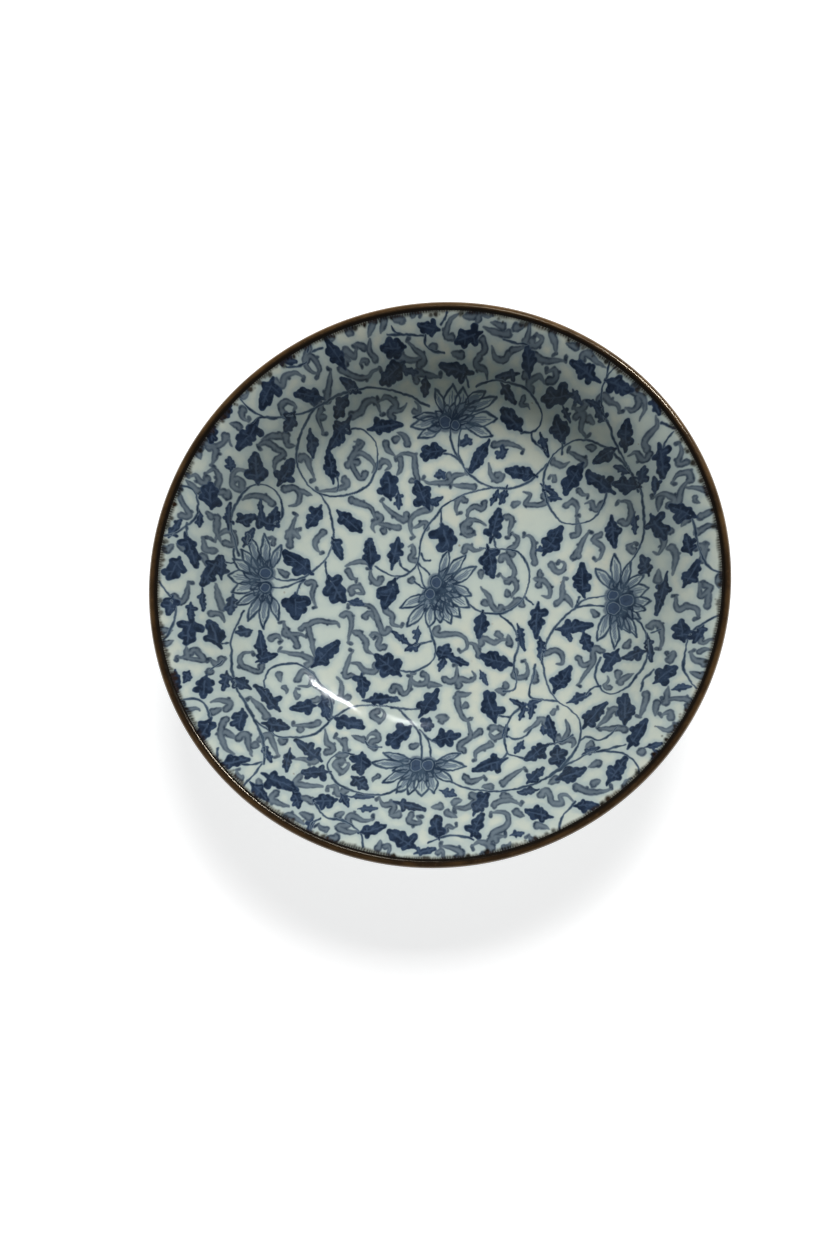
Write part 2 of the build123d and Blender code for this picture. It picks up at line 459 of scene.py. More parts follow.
def leaf(plan, x, y, turn, long, wide, amount=1.0):
    """A lobed leaf of overlapping brush dabs, its tip in the direction of turn."""
    a = radians(turn)
    ahead = np.array([cos(a), sin(a)])
    across = np.array([-ahead[1], ahead[0]])
    middle = np.array([x, y])
    long, wide = long * 1.07, wide * 1.15

    def at(along, aside=0.0):
        return middle + ahead * long * along + across * wide * aside

    lean = 0.10 * (dice.random() - 0.5)
    plan.dab("dark", at(-0.54), at(-0.32), wide * 0.12, wide * 0.30, amount, 0.35)
    plan.dab("dark", at(-0.25), at(0.06, lean), wide * 0.52, wide * 0.60, amount, 0.35)
    plan.dab("dark", at(0.06, lean), at(0.28, lean), wide * 0.60, wide * 0.42, amount, 0.35)
    plan.dab("dark", at(0.28, lean), at(0.42, lean * 2), wide * 0.40, wide * 0.28, amount, 0.35)
    plan.thinned("dark", [at(-0.30), at(0.05, lean), at(0.34, lean)], lambda t: 0.4, 0.54, 0.4)
    lobes = 3 if long > 1.6 * wide and long > 6 else 2
    for side in (-1, 1):
        for k in range(lobes):
            root = at(-0.28 + 0.52 * (k + 0.6 * dice.random()) / lobes)
            bend = radians(80 - 18 * k + 52 * (dice.random() - 0.5))
            out = wide * (0.33 - 0.06 * k) * (0.45 + 0.85 * dice.random())
            end = root + (ahead * cos(bend) + across * side * sin(bend)) * out
            fat = max(0.9, wide * (0.34 + 0.10 * dice.random()))
            plan.dab("dark", root, end, wide * 0.40, fat, amount, 0.35)
            if dice.random() < 0.6:
                plan.thinned("dark", [root, end], lambda t: 0.4, 0.56, 0.4)


def petal(plan, tx, ty, bx, by, wide, wash=0.24):
    """A pointed petal outlined from its base to its tip, lined lengthwise, bluest at its base."""
    base, end = np.array([bx, by], float), np.array([tx, ty], float)
    ahead = end - base
    long = np.linalg.norm(ahead)
    ahead /= long
    across = np.array([-ahead[1], ahead[0]])
    for side in (-1, 1):
        edge = [base + across * side * wide * 0.16, base + ahead * long * 0.3 + across * side * wide * 0.42,
                base + ahead * long * 0.60 + across * side * wide * 0.48,
                base + ahead * long * 0.86 + across * side * wide * 0.2, end]
        plan.stroke("line", edge, lambda t: 0.5 + 0.12 * sin(9 * t + side), 1.0, 0.3)
        inner = [base, base + ahead * long * 0.35 + across * side * wide * 0.16,
                 base + ahead * long * 0.68 + across * side * wide * 0.14]
        plan.stroke("line", inner, lambda t: 0.42 * (1 - 0.5 * t), 0.62, 0.3)
    plan.stroke("line", [base, base + ahead * long * 0.8], lambda t: 0.42 * (1 - 0.5 * t), 0.7, 0.3)
    for k in range(6):
        t = k / 6
        plan.dab("pale", base + ahead * long * t * 0.9, base + ahead * long * (t + 0.16) * 0.9,
                 wide * 0.8 * (0.5 + sin(pi * min(1, t + 0.2)) * 0.5), wide * 0.7, wash * (1 - 0.7 * t), 0.9)
    plan.dab("dark", base, base + ahead * long * 0.25, wide * 0.5, wide * 0.2, 0.36, 1.1)


def pod(plan, x, y, size):
    """A round seed pod: a ring filled with blue."""
    ring = [(x + size * cos(k * pi / 6), y + size * sin(k * pi / 6)) for k in range(13)]
    plan.wipe((x, y), size)
    plan.dab("pale", (x, y), (x + 0.05, y), size * 2.7, size * 2.7, 0.95, 1.2)
    plan.dab("dark", (x, y), (x + 0.05, y), size * 2, size * 2, 0.62, 0.4)
    plan.stroke("line", ring, lambda t: 0.66 + 0.14 * sin(8 * t), 1.0, 0.3)
    plan.dab("dark", (x - 0.3 * size, y - 0.2 * size), (x + 0.3 * size, y), size * 0.9, size * 0.8, 0.72, 1.6)


# Inside: vines, each a row of points in millimetres on the plan
VINES = """
-4.6 1.2 -6.6 5.5 -7.3 10.5 -6.6 16 -4.6 21 -0.5 26 5 29.8 10 31.4 15 31.9 20 31.5 25 33.2 28.5 35.8 \
30.5 38.5
52 35 47.5 40 43 42.7 38 43.3 33.5 41.5 30.5 37.5 29.9 33 30.5 28.5 32.5 24 35.5 21 40 20 44 21 46.8 \
24.5 47.8 28
54.8 7.5 57 11 58.2 15 58 20 57.2 25.5 55 31 52 36 50 40 47.5 45 45.8 49.5 44.8 53 45.3 56.5 47.5 59 50 61
56 27 54.5 31.5 52 35
48 -2 44 -2.3 41 -3.5 39.5 -5.2 36 -8 33 -11.5 31 -15.5 30 -20 30.2 -25 31.5 -29 34 -33 38 -36 40.3 -40 \
40 -45 38 -49 34.5 -53 30 -56 25 -58 20 -59.3 14 -59.5 8 -58.5 4 -57
47.5 -5 43.5 -4.5 39.8 -5
56 -9.5 58 -12 59 -16 58.8 -21 57 -25 54 -29 50.5 -31.4 47.5 -31 45.6 -28.5 45 -25 46.3 -20.5
10 59.8 12 60.2 16 60.5 20 59.5 24.5 57.5 27.5 54.5 28.8 51 28 48.5 26 47.3 23 47.3
26 47.3 26.3 45 28 43.5 30 42
-4 55.5 -8 57.2 -12 58.6 -17 59.3 -22 59 -27 57.8 -32 55.5 -36 53.2 -40 51.2 -45 49.8 -50 49 -54 46.5
-36 53.4 -38.5 50 -41 45.5 -42.3 41 -41.8 36.5 -39 32.5 -35.5 30.3 -31 30 -26 31 -22 33.5 -20.3 37 \
-19.5 41 -19.8 45 -22 48 -25 49.2 -28 48.8
-37 31 -34.8 28 -33.2 23.5 -32.7 18 -33.5 13.5 -35.5 10 -39 7 -43 4.8 -47 4.2 -50 5
-51 2 -47 2.2 -43 3.8 -40.8 5
-34.8 10 -34.5 7 -33.5 4
-40.8 4.8 -42.2 3 -43 0
-57 -5.5 -58.5 -10 -59.5 -15 -59.5 -20 -58.5 -25 -56 -31 -53 -36 -50 -41.5 -48.5 -46 -47.8 -51
-56 -31 -53 -36.5 -49 -40.5 -45 -42.8 -40.5 -43.3 -36.5 -42.2 -33.5 -40 -31.5 -37.5 -28 -35 -24.5 -33.8 \
-20 -33.6 -15.5 -34 -12.5 -35 -10 -37.5 -7.5 -40.5 -5.8 -43.5 -5.3 -47 -5.2 -50
-48.3 -51 -50 -53.5 -52.5 -56.5
-6 -41.5 -3.8 -44 -2.9 -47 -2.8 -49.5
-14.5 -34.4 -10 -35 -6 -35
-4.3 -43.5 -1 -45
-32.8 -39.5 -31.8 -35 -33 -31 -35.5 -27 -38.5 -23.5 -42 -21.2 -46 -20.9 -49.2 -22.5 -50.6 -26 -50.5 -29
-10.5 -57.8 -14 -59.8 -19 -60.2 -24 -58.8 -28.5 -56.3 -31 -53 -31.2 -50.2 -29.5 -48.3 -27 -47.9 -24.8 -48.6
25 -58 30 -56 33 -54.5 37 -51.5 41 -49.3 45 -48 49 -48.2 52.5 -49.5 54.8 -52 55.3 -55
45 -48 49 -47 52 -46.2
40.2 -45 42 -44 45 -45 47.5 -44 50 -41.5
27.8 -22 27.3 -26 26 -29.5 26.5 -32 30 -32.7 34 -33.2
7.5 -3 10 -5 13 -6.3 17 -6.3 20 -5.2 23 -3 25 0.5 25.8 5 25 9 22.5 12.3 19 13.3 15 13.5 11 14
15.8 13.8 15.3 16.5 15 18
17 -6.3 20 -9.3 22 -12.5 22.7 -16 21.8 -19.5 21.3 -23 22.2 -26.5 21.8 -29.3 18.5 -30
24.6 -1.5 27 -3.8
-20 9 -17.5 7 -14 6 -10.5 6.5 -8 8.5 -7.2 11
-13 10.5 -12 8.3 -10 7
-11.5 6.2 -14 5 -15 3
-7 9.5 -5 7.5 -4 6
-6.6 12.5 -5.5 10.5 -3.8 10.3
-5.5 2 -7 3 -8.5 4
-3.8 -9.6 -3 -12.5 -1.9 -16 -2 -19 -4 -21.5 -7 -23.3 -10 -23.5 -13 -23
-3 -14.6 -5.5 -15.2 -8 -15.8
-0.6 26 -0.7 22.5 -0.5 20
-15 71.5 -10 71.5 -5 71.7
-13.5 73.8 -12.5 72.2 -10 71.5
0 74 1.2 75.3 2 76.8
-4.5 72 -4.3 69.5 -2 68 1 67.5
7.8 59.8 7.3 61.5 6.6 62.3
2 50 2.2 46 3.5 42.5 5.5 39 8 36 11.5 33.5 15 32
5.4 49 4.6 46 4.6 42 6 38.3
0 42.5 2.5 41.8 4.4 40.5
69.5 18 70.5 15 71.5 10 73 5 75.5 2 77.3 1
77.2 -10.5 73 -12.5 69.5 -15.5 68.3 -20 67.5 -25 68.5 -28 70.5 -31
-71.5 28.5 -69 28 -67.5 25 -68 21 -70 18 -73 15.5 -75.5 14.5
-70.3 18.5 -70.4 14
-77 1 -75 -2 -73.5 -5 -73 -9 -74 -12.5 -75.5 -15
-60 -15.6 -62 -15.8
-58.5 10.8 -59.5 15 -60 19 -59 24 -57 28 -54.3 30.8 -51 31.5 -48.3 30 -47 27 -47 23.5 -49 21
-69.5 -32.3 -67 -32.2 -64.5 -33.5 -62.8 -37 -62.5 -40
-55 -50.6 -51 -51 -48.5 -50.4
-60 -46 -59.4 -50
-34 -61 -31.5 -64.5 -28.5 -66.3 -25 -67 -22.5 -68.5 -20.5 -70.5 -19.5 -74
-33.6 -69.5 -33.8 -67.3 -31.5 -66
-1.8 -73 1.5 -71.7 5 -71.3 8 -71.8 10.3 -72.4
23.5 -35 21 -37 19.3 -41 19 -45 19.8 -48.4 22 -49.5 25 -50.3
19.3 -43 22 -44.4 25 -43.5 27 -41.5
16 -37 20 -37.8
19.5 -48.5 18.3 -50.5
-17 -46.3 -20 -46.2 -21.8 -44.5
-55.3 53 -53 50.7 -50 49.3 -46.5 49.3
-35.5 66.8 -33 67.6
-36.8 66.5 -36 69.5
-43 62.5 -39 63.3 -37.3 64.2
-31.5 31.5 -31 33.5 -31.5 36
17.5 70 21 68.8 24.5 68.3
47 61.5 46.4 58.6 45.4 56.4
64.5 41.2 62.5 39 61.8 37
61 44 65 42
35 43.5 34.8 40.5
38 -62 36 -64.5 34.2 -67 34 -70
46.3 -29 44 -29.5 42.3 -31.5
-59.5 12.5 -60 8.7 -61.8 8.4
60 -14 62.5 -13.5
31.4 -46 35.3 -45 38.3 -43.5
60.2 -25 57.5 -28 56.5 -31
33.5 -11.4 35.5 -11.2
-63.8 -24 -61.5 -21
40.5 -2 39.5 -5
"""

# Inside: dark leaves, each x, y, direction of the tip, length and width
LEAVES = """
-29.5 66.5 130 7.5 4.6  -37.5 56 175 7 4.6  -48.5 55 245 8.5 5  -54.3 43.8 235 10 4.6  -52.8 35.8 90 7.8 5
-45.3 36 60 8.2 4.4  -43.3 48.8 235 5.4 3.4  -38 44 270 6.8 3.2  -33 38.8 95 8.4 4.6  -30 47.3 235 11 4.2
-29 54 240 6.4 3.6  -26 59.3 155 5.4 4  -64.5 26.8 90 6.4 5.6  -59.5 49.3 225 4.4 3  -13.5 68.8 180 6 5
-14.2 62.8 215 8.4 4.8  -5 60 260 4.2 3.2  4 63.7 168 9.4 4.4  7.6 71 190 7.2 4.8  -3.6 73.4 172 5.8 3.2
24.7 64.2 98 7 4.2  18.5 61.3 182 6.4 2.4  19.4 57 306 6.4 3  20.3 51 130 8 5.2  -3.3 43 185 6.8 5.4
10.5 41 238 10 5  23 36.3 162 9 5  -16.8 50.3 12 9.6 4.4  -16.3 33.2 100 7.4 6.4  -13.4 28.6 270 5.4 2.2
-6.3 30.5 115 8.6 5.4  15.3 29 245 5 2.4  18 29.5 250 5.4 2.4  40 60 145 9.4 4.2  32.8 54.9 180 7.8 5.2
49.6 55 330 8 4.6  34 46.8 115 6.6 5.2  52.2 42.6 90 7.6 4.4  61.8 33.8 280 9.2 4.2  46.7 38.4 200 6 4.4
45.6 31.3 140 10 5  38 33.2 235 8.4 5.8  52.8 29.2 165 6.8 4.2  51.6 33.6 150 5.4 2.2  56.7 31 80 4.8 3.2
43 51.5 155 5 2.2  45.2 48.8 130 5.4 2.6  60.5 28 90 4.4 2.6  -38 23.6 240 7.2 4.6  -27.6 22.2 318 9 5.4
-51.2 21.4 350 6.6 4.4  -49 22.8 80 6.4 3.2  -52.6 25.3 90 4.4 2  -56.2 21.5 30 4.6 3.6  -60.3 22 85 7.4 2.4
-56 16.6 65 6 2.6  -69.6 10.6 282 9.4 4.4  -73.6 5 250 6.4 5.2  -65 5 250 9.2 4.2  -62.8 7 90 6.4 3
-69.3 -7 270 5.4 2.4  -69.5 -13 262 7 5.2  -63.6 -12.8 112 8 4.6  -43 9.8 145 9.6 6.4
-43.5 -3.6 270 6.8 6.6
-31.3 14.3 300 6.4 4.4  -31.6 1.7 300 8.8 6.4  -52.3 -15.8 95 9.4 3.4  -50.4 -19.3 25 5.6 3.4
-34 -18 45 10 5.6  -66.6 -3.4 275 6.6 1.9  -21.5 13 90 8.4 4.6  -14.2 13 80 9 4  -16 0.3 250 9 6.2
1 17.2 290 8 6.8  15.5 21 76 9.8 4.6  14.2 9.5 280 9.4 5  11.5 -9.8 265 7.8 4.6  -12.3 -13.2 140 7.2 2.8
-8.6 -16.2 195 5.4 2.6  -16 -21.4 140 9 6.2  0.5 -17.6 60 4.8 4.2  4.6 -20.4 340 7 3  0 -21.6 250 4.2 2.6
16 -20.8 165 9.4 5.2  23.3 -14 282 8 2.6  28 -9 265 10 4.8  -23.5 -27.8 275 7 4.4  29.6 -17 280 6.4 2.8
32.6 15.8 60 8.8 6.2  29.6 13 190 4 1.8  41.3 3.4 95 9.8 5.4  39.3 -11 5 10.4 4.6  42.6 -15.6 290 5.6 3.8
37.5 -13.6 270 3.4 2.2  49.8 16.4 276 9 4.4  61.8 16.2 300 7.4 4.8  67.3 19.3 150 7.4 4.6
69.3 10.2 100 6 3.6
58.5 6 110 6 4  70 1.8 60 7.6 4.4  62.6 -3.6 258 11.8 3.6  55.3 -20.3 195 6 3.6  59.4 -18.8 275 8.4 2.8
49.2 -21.8 235 7.4 4.6  35.5 -26.6 60 8.6 4.8  67.4 -14.2 100 5.6 5.2  63 -26.4 40 7 4.6
-72 -27.4 275 6.4 3
-65 -28.8 262 6 4.8  -60 -27 270 5.4 2.6  -56.3 -27.2 330 6 3.6  -49.5 -31.2 130 10 4.2
-40 -34.2 185 6.4 4.6
-33.6 -35 288 8 3.4  -55.3 -38.2 270 6 4.2  -46.2 -39.6 350 6.4 4.2  -63.6 -41.2 252 6.8 4.6
-37.3 -46.6 140 9.6 3.8  -55 -49.8 10 7 3.8  -42 -50 272 6 2.6  -34.6 -53.4 180 7.2 3.8
-42.8 -56 335 10.4 4.6
-47.4 -47.8 300 6 2.2  -48.2 -58.6 310 7 3  -31 -61.4 185 6 3.8  -26.6 -38.8 342 9 4.6
-3.3 -33.2 55 9.2 5.4
14.6 -34.4 105 9 6  2 -44 5 7.4 4.8  -12.2 -43.2 222 8 5.6  -22.6 -51.3 270 5.6 5  -22 -56.6 325 5.6 3.6
14.4 -52 202 9.8 4.4  28 -48.4 215 8 4.2  27.5 -54.8 45 6 3.2  28 -65.4 170 7 4.2  12.2 -62.6 60 6.6 4.4
11.3 -68.6 60 6.6 4.4  0.4 -69 100 5.6 4.4  -17.3 -69.4 15 7 3.8  -9.4 -72 150 8.6 4.8  -7.4 -63.4 345 9 3
44.4 -37.4 50 9.4 4.4  52.5 -36 85 8.4 5  55.2 -43 60 9 4.4  37.5 -54.6 20 8.2 4.4  34.2 -49.4 90 5.6 5
49.6 -53.3 55 9 4.4  41 -63.2 0 6.4 3.4  -38.2 -61 300 4.6 3  -25.4 -61.4 310 4 2.2  25.3 -59.4 190 5.6 2.6
"""

# Inside: smaller, thinner-painted leaves in the same order
THIN_LEAVES = """
-63.5 43.5 265 5.4 3.4  -59.4 35.8 90 3.6 2.6  29.6 43.2 290 6.8 2.4  38.5 53.8 300 4.8 2.2
36 50.2 300 5 1.7
31.4 30.6 320 5.6 2.4  33 28.2 350 4.4 2  59.6 48.6 290 5.6 3  -60 -4 265 6 3.2  -74.4 -5.6 260 5 3.8
-73.2 16.8 60 5.8 2.6  -67.4 19.8 270 4.6 2.2  -56.8 -12 200 3.4 3.2  -25.6 -2.4 350 4.4 2.4
6.6 45.6 200 3.4 2.8
-0.8 36.5 200 3.2 2.8  17.4 42 210 3.6 3.2  -2.2 28.4 20 4 2.8  -9.3 63.5 355 5 2.2  -42.6 64 0 5.4 2.4
55.6 18 275 5.4 2.2  -7.2 -12.4 270 4.6 2.4  29.6 -18.6 275 5 2.6  71.6 -15.8 250 5 3  -17.8 -31.8 5 9.4 3.2
-14 -32 350 3.6 2  22.6 -33.9 152 5.4 2  24 -36.6 248 5.2 2  26.6 -36 262 5.6 2.2  27.6 -33.4 22 4.6 2
23 -46.8 235 4.2 2.6  -4 -39.8 250 3.8 3.2  -21 -60.6 355 6.4 2.2  -19 -63.9 0 5 1.6  3.2 -59.9 345 4.8 2.4
22.4 -70.8 15 3.8 2  -2.6 -75 15 5.6 2.4  32 -41.4 102 8 3.2  43 -48 25 5 2.2  59.4 -46.6 15 4.6 2
60 -49 40 3.8 2.6  67 -30.6 10 4.6 2.2  -34 -68.2 265 4 2.2  40.6 -32.4 20 6.6 2.8  -69.4 -26 250 3.4 2.6
12.6 -26 295 5 2.2  19.2 -42 80 4 2.2  30 -42 90 2.2 2
"""

